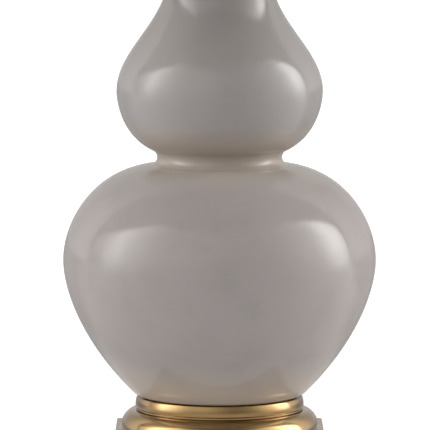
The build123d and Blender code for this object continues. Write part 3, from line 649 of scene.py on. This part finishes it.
def gourd_side(inset):
    """The side of the gourd, 'inset' millimetres inside the glaze, from the foot to the neck."""
    lean, shoulder, leave = np.radians([45.0, 85.0, 65.0])
    belly, bulb, neck = BELLY_RADIUS - inset, BULB_RADIUS - inset, NECK_RADIUS - inset
    belly_z, bulb_z, neck_z = foot_z + BELLY_RISE, foot_z + BULB_RISE, mouth_z - NECK_LENGTH
    foot = arc((60.0, foot_z + FOOT_ROUND), FOOT_ROUND - inset, -90, -45, 14)
    groove = arc((55.0, foot_z + GROOVE_RISE), GROOVE_ROUND + inset, 265, 115, 26)
    off_foot = foot[-1] + 59.0 * np.array([np.sin(lean), np.cos(lean)])
    into_groove = groove[0] + 44.5 * np.array([np.sin(shoulder), -np.cos(shoulder)])
    off_groove = groove[-1] + 27.0 * np.array([np.sin(leave), np.cos(leave)])
    return [
        foot,
        bezier(foot[-1], off_foot, (belly, belly_z - 21.0), (belly, belly_z), 44),
        bezier((belly, belly_z), (belly, belly_z + 30.0), into_groove, groove[0], 44),
        groove,
        bezier(groove[-1], off_groove, (bulb, bulb_z - 8.0), (bulb, bulb_z), 36),
        bezier((bulb, bulb_z), (bulb, bulb_z + 35.5), (neck, neck_z - 50.0), (neck, neck_z), 44),
    ]


bore = NECK_RADIUS - WALL
mouth = eased([(NECK_RADIUS, mouth_z - 3), (NECK_RADIUS, mouth_z), (bore, mouth_z), (bore, mouth_z - 3)], 1.3)
inside = [stretch[::-1] for stretch in gourd_side(WALL)[::-1]]
gourd_outline = [[(12.0, foot_z), (40.0, foot_z)], *gourd_side(0.0), mouth, *inside, [(12.0, foot_z + WALL)]]
print("gourd from", round(foot_z, 1), "to", round(mouth_z, 1), "mm")

# %% [markdown]
# Slip cast ware is not perfectly round: it sags a hair while it dries.  A few slow
# waves round the belly, a fifth of a millimetre high, bend the reflections just
# enough to tell it from a drawing.

# %% Gourd piece
def cast_wave(angle, z):
    """Slow waves: a two-lobed and a three-lobed one, drifting with height."""
    return 0.14 * np.sin(2 * angle + z * 0.011) + 0.07 * np.sin(3 * angle - z * 0.017 + 1.0) - 0.21


put("gourd", [spin(gourd_outline, 220, cast_wave)], "stand", ("gourd_body",), glaze)

# %% [markdown]
# ## Antique brass
#
# The base is spun and turned brass, chemically darkened, rubbed back with fine
# abrasive on the lathe and lacquered.  So it is a metal with a warm but dull
# colour, fine rings round its axis that stretch the highlights up and down, and
# darker tone in blotches and in its finest lines.  The rings come from noise read
# in (radius, height) only, so they run true round every turned piece, and the flat
# plinth gets straight strokes the same way.  The collar's brass is a darker copy
# of the same finish, which is painted shade, and painted shade also darkens the
# slots over and under it.

# %% Brass materials
PATINA = 0.25
SLOT_SHADE_TONE = (0.045, 0.018, 0.005)


def brass_finish(name, base, dark, roughness, strokes="rings", lacquer=0.60, slot_shade_places=()):
    """A rubbed brass: base on the high places, dark in blotches and in the finest lines.  Each
    slot_shade_places entry is (radius, height, reach) in millimetres: painted shade there fades as exp(-(d /
    reach)^2)."""
    material, tree, shader = new_material(
        name, Metallic=1.0, Anisotropic=0.45, Anisotropic_Rotation=0.25,
        Coat_Weight=lacquer, Coat_Roughness=0.10, Coat_IOR=1.45)
    spot_place = object_place(tree)
    xyz = add(tree, "SeparateXYZ", {"Vector": spot_place})
    x, y, z = (xyz.outputs[k] for k in "XYZ")
    if strokes == "rings":
        radius = distance(tree, x, y)
        line_place = add(tree, "CombineXYZ", {"X": radius, "Y": z}).outputs[0]
        plug(tree, shader, Tangent=add(tree, "Tangent", direction_type="RADIAL", axis="Z").outputs[0])
    else:
        line_place = add(tree, "CombineXYZ", {"X": times(tree, x, 0.02), "Y": y, "Z": z}).outputs[0]
    lines = noise(tree, line_place, 1500.0, 3.0, 0.65)
    cloud = noise(tree, spot_place, 38.0, 5.0, 0.6)
    tint = blend(tree, times(tree, soft_step(tree, cloud, 0.42, 0.74), PATINA), base, dark)
    tint = blend(tree, times(tree, soft_step(tree, lines, 0.35, 0.70), 0.22), tint, dark)
    # Painted shade: each slot place darkens the colour towards a near black brown.
    for ring_radius, ring_height, reach in slot_shade_places:
        out = minus(tree, radius, ring_radius * MM)
        up = minus(tree, z, ring_height * MM)
        far = distance(tree, out, up)
        tint = blend(tree, spot(tree, far, 0.0, reach * MM), tint, SLOT_SHADE_TONE)
    plug(tree, shader, Base_Color=tint)
    rough = plus(tree, roughness, times(tree, minus(tree, cloud, 0.5), 0.16))
    plug(tree, shader, Roughness=rough)
    plug(tree, shader, Normal=bump(tree, lines, 0.18, 0.00006))
    return material


plinth_top, moulding_top = heights("base_moulding")
collar_top = heights("seat_collar")[1]
# Painted shade: dark tone in the slot between collar and glaze and in the slot under the bead.
PAINTED_SLOT_SHADE = [(63.5, collar_top, 1.2), (63.4, moulding_top - 0.2, 0.85)]
turned_brass = brass_finish(
    "antique_brass_turned", (0.40, 0.258, 0.105), (0.21, 0.122, 0.042), 0.18, slot_shade_places=PAINTED_SLOT_SHADE)
# Painted shade: the collar's brass is a darker copy of the turned brass.
shaded_collar_brass = brass_finish(
    "antique_brass_collar_painted_shade", (0.35, 0.225, 0.090), (0.20, 0.120, 0.042), 0.17, slot_shade_places=PAINTED_SLOT_SHADE)
flat_brass = brass_finish("antique_brass_flat", (0.45, 0.30, 0.13), (0.24, 0.145, 0.05), 0.26, "straight")
bright_brass = brass_finish("satin_brass", (0.66, 0.50, 0.27), (0.42, 0.30, 0.14), 0.24, "straight", 0.1)
print("brass:", turned_brass.name, shaded_collar_brass.name, flat_brass.name, bright_brass.name)

# %% [markdown]
# ## Moulding and collar
#
# Under the gourd stand two turned rings: a wide one with a low flange and a tall
# quarter round, and on it the collar that holds the foot, a soft band over a fine
# bead with a nearly square edge, which catches a thin bright line.  A dark slot
# runs under the bead and another between collar and glaze; both are real gaps in
# the outlines, so they go dark by themselves, and the brass finish paints shade
# into both as well.

# %% Moulding
FLANGE_RADIUS, FLANGE_ROUND = 80.8, 1.8
ROUND_RADIUS, ROUND_REACH = 77.7, 11.1
INNER_RADIUS, MOULDING_WALL, COVE = 75.2, 2.5, 0.5
flange_top = plinth_top + 5.0


def quarter_round(radius, reach, bottom, tall):
    """From the widest point at the bottom, up and in to the top, as a quarter of an ellipse."""
    return arc((0, 0), 1.0, 0, 90, 30) * [reach, tall] + [radius - reach, bottom]


moulding_outline = [
    [(INNER_RADIUS, plinth_top), (79.6, plinth_top)],
    arc((80.0, plinth_top + 0.8), 0.8, -90, 0, 6),
    arc((FLANGE_RADIUS - FLANGE_ROUND, flange_top - FLANGE_ROUND), FLANGE_ROUND, 0, 90, 12),
    arc((ROUND_RADIUS + COVE, flange_top + COVE), COVE, 270, 180, 6),
    quarter_round(ROUND_RADIUS, ROUND_REACH, flange_top + COVE, moulding_top - flange_top - COVE),
    [(56.0, moulding_top), (56.0, moulding_top - MOULDING_WALL)],
    quarter_round(INNER_RADIUS, ROUND_REACH, flange_top, moulding_top - flange_top - MOULDING_WALL)[::-1],
]
put("moulding", [spin(moulding_outline, 240)], "stand", ("base_moulding",), turned_brass)

# %% Collar
BEAD_CREST, BAND_RADIUS = 65.7, 66.1
ROD_HOLE = 5.4               # radius, in every piece that the rod goes through
bead_low = moulding_top + 0.4
widest = moulding_top + 4.6
collar_outline = [
    eased([(61.2, moulding_top), (62.8, moulding_top), (62.8, bead_low), (64.0, bead_low)], 0.12),
    eased([(64.2, bead_low), (BEAD_CREST, bead_low), (BEAD_CREST, bead_low + 1.3),
           (65.45, bead_low + 1.4)], 0.3),
    bezier((65.62, bead_low + 1.5), (65.90, bead_low + 1.8), (BAND_RADIUS, widest - 1.7),
           (BAND_RADIUS, widest), 18),
    bezier((BAND_RADIUS, widest), (BAND_RADIUS, widest + 2.5), (65.2, collar_top - 0.3),
           (64.4, collar_top), 20),
    eased([(64.1, collar_top), (61.2, collar_top - 1.5), (ROD_HOLE, collar_top - 1.5),
           (ROD_HOLE, collar_top - 4.0), (61.2, collar_top - 4.0)], 0.3),
]
put("collar", [spin(collar_outline, 240)], "stand", ("seat_collar",), shaded_collar_brass)

# %% [markdown]
# ## Neck fittings
#
# A spun cap closes the gourd's mouth, a small knurled check ring locks the rod, and
# a turned tube lifts the socket.  All three are outlines again.  The knurl of the
# check ring is a wave in the radius, which is exactly what a knurling wheel rolls
# into the metal.

# %% Neck cap and tube
cap_low, cap_top = heights("neck_cap")
cap_seat = cap_low + 5.0
SHEET = 1.8                  # thickness of the spun cap
edge = NECK_RADIUS + 0.5 + SHEET
shoulder = (edge - 12, cap_seat + 4.4)
neck_cap_outline = [
    eased([(edge - SHEET, cap_seat), (edge - SHEET, cap_low), (edge, cap_low), (edge, cap_seat)], 0.5),
    bezier((edge, cap_seat), (edge, cap_seat + 2.8), (edge - 6, cap_seat + 3.4), shoulder, 20),
    bezier(shoulder, (edge - 20, cap_seat + 5.8), (16, cap_top), (12, cap_top), 20),
    [(ROD_HOLE, cap_top), (ROD_HOLE, cap_top - SHEET), (12.0, cap_top - SHEET),
     (32.3, cap_seat + SHEET), (32.3, cap_seat)],
]
put("spun_neck_cap", [spin(neck_cap_outline, 160)], "stand", ("neck_cap",), turned_brass)
tube_low, tube_top = heights("neck_tube")
tube_middle = (tube_low + tube_top) / 2
tube_outline = [
    [(ROD_HOLE, tube_low), (9.2, tube_low)],
    arc((9.5, tube_low + 1.5), 1.5, -85, 85, 14),
    bezier((9.4, tube_low + 3.05), (7.1, tube_low + 4.0), (6.6, tube_low + 8), (6.6, tube_middle), 16),
    bezier((6.6, tube_middle), (6.6, tube_top - 7), (8.3, tube_top - 6), (8.8, tube_top - 3), 16),
    eased([(8.8, tube_top - 3), (8.8, tube_top), (ROD_HOLE, tube_top)], 0.5),
]
put("turned_neck_tube", [spin(tube_outline, 96)], "stand", ("neck_tube",), turned_brass)

# %% Knurled check ring
ring_middle = (cap_top + tube_low) / 2


def knurl(angle, z):
    """Sixty fine ridges, a quarter of a millimetre deep, on the middle of the ring's rim."""
    middle = np.clip(1 - np.abs((z - ring_middle) / 1.3) ** 4, 0, 1)
    return -0.125 * (1 - np.cos(60 * angle)) * middle


rim = np.stack([np.full(9, 11.0), np.linspace(cap_top + 0.6, tube_low - 0.6, 9)], 1)
ring_outline = [[(6.5, cap_top), (10.3, cap_top)], rim, [(10.3, tube_low), (6.5, tube_low)]]
put("knurled_check_ring", [spin(ring_outline, 480, knurl)], "stand", ("check_ring",),
            turned_brass)

# %% [markdown]
# ## Socket
#
# The cap is spun from thin sheet with a screwed hub; the shell that slides into it
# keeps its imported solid, because the switch stem needs a true round hole in it.

# %% Socket cap
socket_low, socket_cap_top = heights("socket_cap")
hub_top = socket_low + 8.0
dome_top = socket_cap_top - 6.0
socket_cap_outline = [
    eased([(ROD_HOLE, socket_low), (7.5, socket_low), (7.5, hub_top), (8.4, hub_top)], 0.5),
    bezier((8.4, hub_top), (15.3, hub_top), (17.3, hub_top + 5), (17.3, dome_top), 22),
    eased([(17.3, dome_top), (17.3, socket_cap_top), (16.4, socket_cap_top), (16.4, dome_top)], 0.35),
    bezier((16.4, dome_top), (16.4, hub_top + 5.9), (14.4, hub_top + 0.9), (8.0, hub_top + 0.9), 18),
    [(ROD_HOLE, hub_top + 0.9)],
]
put("spun_socket_cap", [spin(socket_cap_outline, 128)], "stand", ("socket_cap",),
                 turned_brass)

# %% [markdown]
# ## Bulb
#
# A frosted bulb with a rolled aluminium screw cap.  The thread is a wave in the
# radius that turns once for each 3.6 mm of height: a helix with no extra mesh.
# The glass is a thin shell, closed at its crown.

# %% Bulb cap
cap_bottom, cap_end = heights("bulb_cap")
THREAD_PITCH = 3.63


def bulb_thread(angle, z):
    """The rolled thread: -0.45 mm (1 - cos(angle - 2 pi z / pitch)), faded out at both ends."""
    fade = np.clip((z - cap_bottom - 5) / 2, 0, 1) * np.clip((cap_end - 3 - z) / 2, 0, 1)
    return -0.45 * (1 - np.cos(angle - 2 * np.pi * z / THREAD_PITCH)) * fade


side_heights = np.linspace(cap_bottom + 5.4, cap_end - 1, 76)
bulb_cap_outline = [
    [(0.0, cap_bottom)],
    eased([(2.0, cap_bottom), (4.6, cap_bottom), (7.6, cap_bottom + 3.0), (9.0, cap_bottom + 3.6)], 0.8),
    eased([(9.4, cap_bottom + 3.7), (13.1, cap_bottom + 5.0), (13.1, cap_bottom + 5.4)], 0.3),
    np.stack([np.full(76, 13.1), side_heights], 1),
    eased([(13.1, cap_end - 1), (13.1, cap_end), (11.0, cap_end)], 0.4), [(0.0, cap_end)],
]
aluminium = noisy_finish("bulb_aluminium", ((0.66, 0.66, 0.66), (0.80, 0.80, 0.79)), (220.0, 4.0, 0.6),
                         (0.1, 0.0001), (0.24, 0.16), Metallic=1.0)
put("rolled_bulb_cap", [spin(bulb_cap_outline, 128, bulb_thread)], "bulb", ("bulb_cap",),
               aluminium)

# %% Bulb glass
glass_low, glass_top = heights("bulb_glass")
GLOBE_RADIUS = 30.0
globe_z = glass_top - GLOBE_RADIUS


def pear(inset):
    """From the neck of the glass up to its crown, 'inset' inside the outer face."""
    neck, globe = 13.0 - inset, GLOBE_RADIUS - inset
    side = bezier((neck, glass_low + 4), (neck, glass_low + 22), (globe, globe_z - 26), (globe, globe_z), 40)
    crown = arc((0, globe_z), globe, 0, 89.2, 40)
    return [[(neck, glass_low)], side, crown, [(0.0, globe_z + globe)]]


frosted = noisy_finish("frosted_glass", ((0.90, 0.89, 0.86), (0.96, 0.95, 0.92)), (1400.0, 2.0),
                       (0.2, 0.00005), (0.42, 0.12), IOR=1.46, Transmission_Weight=0.35)
inner = [np.atleast_2d(stretch)[::-1] for stretch in pear(1.0)[::-1]]
put("frosted_bulb", [spin([*pear(0.0), *inner], 128)], "bulb", ("bulb_glass",), frosted)

# %% [markdown]
# ## Harp, post and ferrules
#
# The harp is one length of brass wire bent on a former: two upright legs, a wide
# belly, a level top with a drilled post for the shade.  A Blender curve with a
# bevel could do it, but a circle carried along a line of straight runs and arcs
# gives the same surface with clean ends, and it is the bender's own recipe.

# %% Harp
harp_low, harp_top = heights("harp_wire")
WIRE = 1.6
leg, wide, narrow = 33.0, 57.0, 26.0
wire_top = harp_top - WIRE
right_side = [(leg, harp_low), (leg, harp_low + 30), (wide, harp_low + 64), (wide, harp_low + 134),
              (narrow, wire_top)]
line = np.array(right_side + [(-x, z) for x, z in right_side[::-1]])
bends = [20.0, 34.0, 80.0, 22.0]
flat_line = bent(line, bends + bends[::-1])
harp_path = joined([np.stack([flat_line[:, 0], 0 * flat_line[:, 0], flat_line[:, 1]], 1)], closed=False)
put("bent_harp", [carried(harp_path, WIRE, (0, 1, 0))], "harp", ("harp_wire",), bright_brass)
post_low, stud_top = heights("harp_post")
post_top = wire_top + 4.0
STUD_ROWS = 57               # four rows to a ridge of the stud's thread
ridges = 3.1 - 0.35 * (np.arange(STUD_ROWS) % 4 > 1)
stud = np.stack([ridges, np.linspace(post_top + 0.5, stud_top - 1, STUD_ROWS)], 1)
post_outline = [
    [(0.0, post_low)], eased([(2.0, post_low), (5.0, post_low), (5.0, post_top), (3.1, post_top)], 0.6),
    [(2.75, post_top + 0.1)], stud, [(2.4, stud_top), (0.0, stud_top)],
]
put("drilled_post", [spin(post_outline, 64)], "harp", ("harp_post",), bright_brass, sharp=30)

# %% Ferrules
for side_name, x_place in (("left", -leg), ("right", leg)):
    low, high = heights("ferrule_" + side_name)
    sleeve = eased([(1.9, low), (3.2, low), (3.2, high), (1.9, high)], 0.4, closed=True)
    verts, faces, uv = spin([sleeve], 64)
    put("sleeve_" + side_name, [(verts + [x_place, 0, 0], faces, uv)], "ferrule_" + side_name,
        ("ferrule_" + side_name,), bright_brass)

# %% [markdown]
# ## Finial
#
# A small turned knob: flared foot, narrow neck, ball, tip.  Where ball and tip meet
# the outline has a real crease, and the lathe leaves it as a fine dark line.

# %% Finial piece
finial_low, finial_top = heights("finial")
ball_z = finial_top - 12.0
tip_z = finial_top - 3.0
finial_outline = [
    [(0.0, finial_low + 13.0), (3.2, finial_low + 13.0)],
    eased([(3.2, finial_low), (6.5, finial_low), (6.5, finial_low + 2)], 0.5),
    bezier((6.5, finial_low + 2), (6.5, finial_low + 5), (4.6, finial_low + 5), (4.6, ball_z - 8.2), 20),
    arc((0, ball_z), 9.0, -59.3, 70.8, 40),
    arc((0, tip_z), 3.0, -9.6, 88.0, 20),
    [(0.0, finial_top)],
]
put("turned_finial", [spin(finial_outline, 96)], "finial", ("finial",), turned_brass,
    sharp=50)

# %% [markdown]
# ## Shade fitter and hoops
#
# Three wire arms run level from a washer, then rise to the top hoop.  The shade's
# cover is stretched between that hoop and a lower one.

# %% Fitter
shade_low, shade_high = heights("shade_cover")
TAPER = 20.0 / 265.0
FOOT_RADIUS = 190.0          # of the cover, at its lower edge
HOOP = 1.5


def shade_radius(z):
    """Outside radius of the cover at height z."""
    return FOOT_RADIUS - TAPER * (z - shade_low)


def hoop(z):
    """A wire circle just inside the cover."""
    radius = shade_radius(z) - 1.0 - HOOP * math.sqrt(1 + TAPER ** 2) - 0.1
    a = np.radians(np.arange(0, 360, 1.5))
    path = np.stack([radius * np.cos(a), radius * np.sin(a), np.full(len(a), z)], 1)
    return carried(path, HOOP, (0, 0, 1), closed=True, around=16), radius


top_hoop, top_hoop_radius = hoop(shade_high - HOOP)
arm_z = post_top + 0.8
arm_line = bent([(10.0, arm_z), (60.0, arm_z), (top_hoop_radius, shade_high - HOOP)], [40.0])
arms = []
for turn in np.radians([90.0, 210.0, 330.0]):
    path = np.stack([arm_line[:, 0] * np.cos(turn), arm_line[:, 0] * np.sin(turn), arm_line[:, 1]], 1)
    arms.append(carried(joined([path], closed=False), 0.8, (-np.sin(turn), np.cos(turn), 0)))
washer_side = [(3.4, post_top), (12.0, post_top), (12.0, post_top + 1.6), (3.4, post_top + 1.6)]
washer = spin([eased(washer_side, 0.4, closed=True)], 96)
fitter = put("wire_fitter", [top_hoop, washer, *arms], "shade", ("shade_fitter",),
             bright_brass)
bottom_hoop, _ = hoop(shade_low + HOOP)
lower_ring = put("wire_hoop", [bottom_hoop], "shade", ("shade_bottom_ring",), bright_brass)

# %% [markdown]
# ## Linen shade
#
# Off-white linen laminated on a stiff backing, rolled into a slight cone and lapped
# at the back.  Linen's look is in its threads: warp and weft of uneven thickness,
# so single threads run as faint streaks for a hand's width.  The weave follows the
# sheet, so it is drawn in the sheet's own map, in metres along and across.

# %% Linen material
SLUB_CONTRAST = 2.5


def linen(name, light_tone, dark_tone, thread=0.0007):
    """Plain weave: two crossing sine ribs a thread apart, slubs stretched along each thread; the colour is
    painted darker where the ribs dip, as painted shade.
    """
    material, tree, shader = new_material(name, Roughness=0.85, Sheen_Weight=0.25, Sheen_Roughness=0.5,
                                          Specular_IOR_Level=0.2)
    cloth = add(tree, "SeparateXYZ", {"Vector": add(tree, "UVMap", uv_map="cloth").outputs[0]})
    along, across = cloth.outputs["X"], cloth.outputs["Y"]
    ribs = [calc(tree, "SINE", times(tree, value, 2 * math.pi / thread)) for value in (along, across)]
    over = plus(tree, 0.5, times(tree, times(tree, *ribs), 0.5))
    slubs = []
    for stretch in ((60.0, 1400.0), (1400.0, 60.0)):
        threads = add(tree, "CombineXYZ", {"X": times(tree, along, stretch[0]),
                                           "Y": times(tree, across, stretch[1])})
        slubs.append(noise(tree, threads.outputs[0], 1.0, 3.0, 0.6))
    streak = times(tree, plus(tree, slubs[0], slubs[1]), 0.5)
    tone = plus(tree, times(tree, minus(tree, streak, 0.5), SLUB_CONTRAST), 0.5)
    # Painted shade: the colour is darker where the weave's ribs dip.
    tone = plus(tree, tone, times(tree, minus(tree, over, 0.5), 0.35), clamp=True)
    plug(tree, shader, Base_Color=blend(tree, tone, dark_tone, light_tone))
    relief = plus(tree, over, times(tree, streak, 1.5))
    plug(tree, shader, Normal=bump(tree, relief, 0.5, 0.00015))
    return material


shade_linen = linen("shade_linen", (0.765, 0.728, 0.655), (0.61, 0.57, 0.495))
trim_linen = linen("trim_linen", (0.76, 0.725, 0.65), (0.58, 0.54, 0.46), thread=0.0005)
print("linen made")

# %% [markdown]
# The sheet is laid round the cone as a grid: one parameter goes round, the other up
# the slant.  The cover ends on itself with a narrow lap at the back, which stands
# out by the sheet's own thickness.

# %% Shade cover
def cone_band(low, high, inside, outside, around=360, rows=24, lap=0.0, roll=0.0):
    """A thin conical wall.  Outer point (i, j): angle j, height i, radius of the cover there plus
    'outside', plus a lap step near the back seam and a rolled ease at both edges; the inner
    wall is the same grid at 'inside', and the two are joined along their edges."""
    height = np.linspace(low, high, rows)
    a = np.pi / 2 + np.arange(around) * 2 * np.pi / around
    hh, aa = np.meshgrid(height, a, indexing="ij")
    step = lap * (np.mod(aa - np.pi / 2, 2 * np.pi) < 10.0 / 180.0)
    ease = roll * np.clip(1 - np.minimum(hh - low, high - hh) / 0.6, 0, 1) ** 2
    walls = []
    for offset, face in ((outside, 1), (inside, -1)):
        radius = shade_radius(hh) + offset + (step - ease if face > 0 else 0 * step)
        walls.append(np.stack([radius * np.cos(aa), radius * np.sin(aa), hh], -1))
    grid = np.concatenate([walls[0], walls[1][::-1]])
    slant = (high - low) * math.sqrt(1 + TAPER ** 2)
    across = np.r_[np.linspace(0, slant, rows), np.linspace(slant, 0, rows), 0.0]
    middle_round = 2 * np.pi * shade_radius((low + high) / 2)
    verts, faces, uv = grid_surface(grid, across, False, middle_round)
    return verts, faces, uv * [MM, 1.0]


cover = put("linen_cover", [cone_band(shade_low, shade_high, -1.0, 0.0, lap=0.35)], "shade", ("shade_cover",),
            shade_linen)
cover.data.uv_layers["run"].name = "cloth"

# %% [markdown]
# The backing inside is smooth white film, so the inner faces get their own
# material: the faces whose normal points to the axis.

# %% Backing
film, t, surface = new_material("white_film", Roughness=0.45)
mottle = noise(t, object_place(t), 60.0, 3.0)
plug(t, surface, Base_Color=blend(t, mottle, (0.83, 0.82, 0.79), (0.87, 0.86, 0.83)))
plug(t, surface, Normal=bump(t, noise(t, object_place(t), 900.0, 2.0), 0.1, 0.00005))
cover.data.materials.append(film)
count = len(cover.data.polygons)
centres, normals = np.zeros(count * 3, np.float32), np.zeros(count * 3, np.float32)
cover.data.polygons.foreach_get("center", centres)
cover.data.polygons.foreach_get("normal", normals)
centres, normals = centres.reshape(-1, 3), normals.reshape(-1, 3)
inward = (centres[:, :2] * normals[:, :2]).sum(1) < -0.5 * np.linalg.norm(centres[:, :2], axis=1)
cover.data.polygons.foreach_set("material_index", inward.astype(np.int32))
print("inner faces:", int(inward.sum()), "of", count)

# %% Trims
for trim_name, node in (("top_trim", "shade_top_trim"), ("bottom_trim", "shade_bottom_trim")):
    low, high = heights(node)
    band = put(trim_name, [cone_band(low, high, 0.36, 0.6, rows=14, roll=0.2)], "shade", (node,),
               trim_linen)
    band.data.uv_layers["run"].name = "cloth"

# %% [markdown]
# ### The shade and the reflections
#
# The glaze at the neck mirrors the two side panels, so nothing stood between them
# and the lamp.  The shade is kept out of mirror rays only: light that it stops or
# passes on is unchanged.

# %% Clear reflections
for piece in [o for o in bpy.data.objects if o.name in ("linen_cover", "top_trim", "bottom_trim")]:
    piece.visible_glossy = False
    print(piece.name, "left out of mirror rays")

# %% [markdown]
# ## Felt feet
#
# Four discs of pressed wool felt, glued under the cover plate.  Felt has no weave:
# its surface is a mat of fibres, so noise at two scales does for colour and bump,
# and the rim is soft and a little uneven.

# %% Felt feet
felt = noisy_finish("black_felt", ((0.004, 0.004, 0.004), (0.016, 0.015, 0.015)), (1600.0, 4.0, 0.7),
                    (0.7, 0.0004), Roughness=0.95, Sheen_Weight=0.4, Sheen_Roughness=0.6)
felt_top = heights("felt_feet")[1]


def fluffy(angle, z):
    """An uneven rim: a few unrelated waves of about a tenth of a millimetre."""
    return 0.08 * np.sin(13 * angle + z) + 0.05 * np.sin(29 * angle - 2 * z) - 0.13


rim = eased([(6.0, 0.0), (10.0, 0.0), (10.0, felt_top), (6.0, felt_top)], 0.7)
disc = spin([[(0.0, 0.0)], rim, [(0.0, felt_top)]], 96, fluffy)
FOOT_PLACES = (-58.0, 58.0)
feet = [(disc[0] + [x, y, 0], disc[1], disc[2]) for x in FOOT_PLACES for y in FOOT_PLACES]
put("pressed_felt_feet", feet, "stand", ("felt_feet",), felt)

# %% [markdown]
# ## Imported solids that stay
#
# The plinth with its inlet hole, the screws, the saddle, the socket's shell and the
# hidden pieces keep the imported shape.  They need two things: a finish, and soft
# shading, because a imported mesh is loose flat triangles.  A small geometry node
# modifier merges the triangles, shades them smooth and keeps creases over 35
# degrees sharp; a weighted normal modifier then lets the large flat faces win.

# %% Even shading
even = bpy.data.node_groups.new("even_shading", "GeometryNodeTree")
even.interface.new_socket("Geometry", in_out="INPUT", socket_type="NodeSocketGeometry")
even.interface.new_socket("Geometry", in_out="OUTPUT", socket_type="NodeSocketGeometry")
inlet, outlet = even.nodes.new("NodeGroupInput"), even.nodes.new("NodeGroupOutput")
merge = even.nodes.new("GeometryNodeMergeByDistance")
merge.inputs["Distance"].default_value = 1e-6
smooth = even.nodes.new("GeometryNodeSetShadeSmooth")
crease = even.nodes.new("GeometryNodeSetShadeSmooth")
crease.domain = "EDGE"
crease.inputs["Shade Smooth"].default_value = False
angle_node = even.nodes.new("GeometryNodeInputMeshEdgeAngle")
steep = even.nodes.new("FunctionNodeCompare")
steep.data_type, steep.operation = "FLOAT", "GREATER_THAN"
steep.inputs[1].default_value = math.radians(35.0)
even.links.new(angle_node.outputs["Unsigned Angle"], steep.inputs[0])
even.links.new(steep.outputs[0], crease.inputs["Selection"])
chain = [(inlet.outputs[0], merge.inputs["Geometry"]), (merge.outputs[0], smooth.inputs["Geometry"]),
         (smooth.outputs[0], crease.inputs["Geometry"]), (crease.outputs[0], outlet.inputs[0])]
for source, target in chain:
    even.links.new(source, target)
print("even shading nodes:", len(even.nodes))

# %% [markdown]
# ### Finishes for them
#
# Zinc plated steel, cast iron, rubber, moulded phenolic and card: each is a base
# colour that wanders, a roughness that follows it, and a bump of the right size.

# %% Small finishes
def plain_finish(name, light_tone, dark_tone, rough, metal=0.0, blob=120.0, relief=0.0001, strength=0.3):
    """A finish for hidden and small pieces, with the same grain and the same spread of roughness."""
    return noisy_finish(name, (dark_tone, light_tone), (blob, 5.0, 0.65), (strength, relief),
                        (rough - 0.08, 0.16), Metallic=metal)


finishes = {
    "antique_brass": flat_brass,
    "satin_brass": bright_brass,
    "plated_steel": plain_finish("plated_steel", (0.62, 0.62, 0.60), (0.44, 0.44, 0.42), 0.34, metal=1.0),
    "cast_iron": plain_finish("cast_iron", (0.075, 0.073, 0.070), (0.030, 0.029, 0.028), 0.72, metal=0.4,
                              blob=420.0, relief=0.0005, strength=0.7),
    "black_rubber": plain_finish("black_rubber", (0.022, 0.022, 0.022), (0.013, 0.013, 0.013), 0.58,
                                 blob=700.0),
    "phenolic": plain_finish("phenolic", (0.022, 0.018, 0.016), (0.012, 0.010, 0.009), 0.30, blob=90.0),
    "liner_card": plain_finish("liner_card", (0.42, 0.32, 0.20), (0.30, 0.22, 0.13), 0.85, blob=500.0),
}
kept = {
    "antique_brass": "plinth socket_shell",
    "satin_brass": "harp_saddle centre_contact switch_stem",
    "bulb_aluminium": "screw_shell",
    "plated_steel": "bottom_cover cover_screws rod_washer rod_nut threaded_rod",
    "cast_iron": "ballast_plate",
    "black_rubber": "cord_bushing foot_gasket mouth_gasket",
    "phenolic": "switch_knob socket_core",
    "liner_card": "shell_liner",
}
finishes["bulb_aluminium"] = aluminium
for finish, node in [(finish, node) for finish, nodes in kept.items() for node in nodes.split()]:
    solid = frame["nodes"][node]
    solid.data.materials.clear()
    solid.data.materials.append(finishes[finish])
    solid.modifiers.new("even", "NODES").node_group = even
    solid.modifiers.new("weighted", "WEIGHTED_NORMAL").keep_sharp = True
print("packed solids dressed:", sum(len(nodes.split()) for nodes in kept.values()))

# %% Sizes
bpy.context.view_layer.update()
low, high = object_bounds()
print("visual size in mm:", [round((h - l) * 1000, 1) for l, h in zip(low, high)])
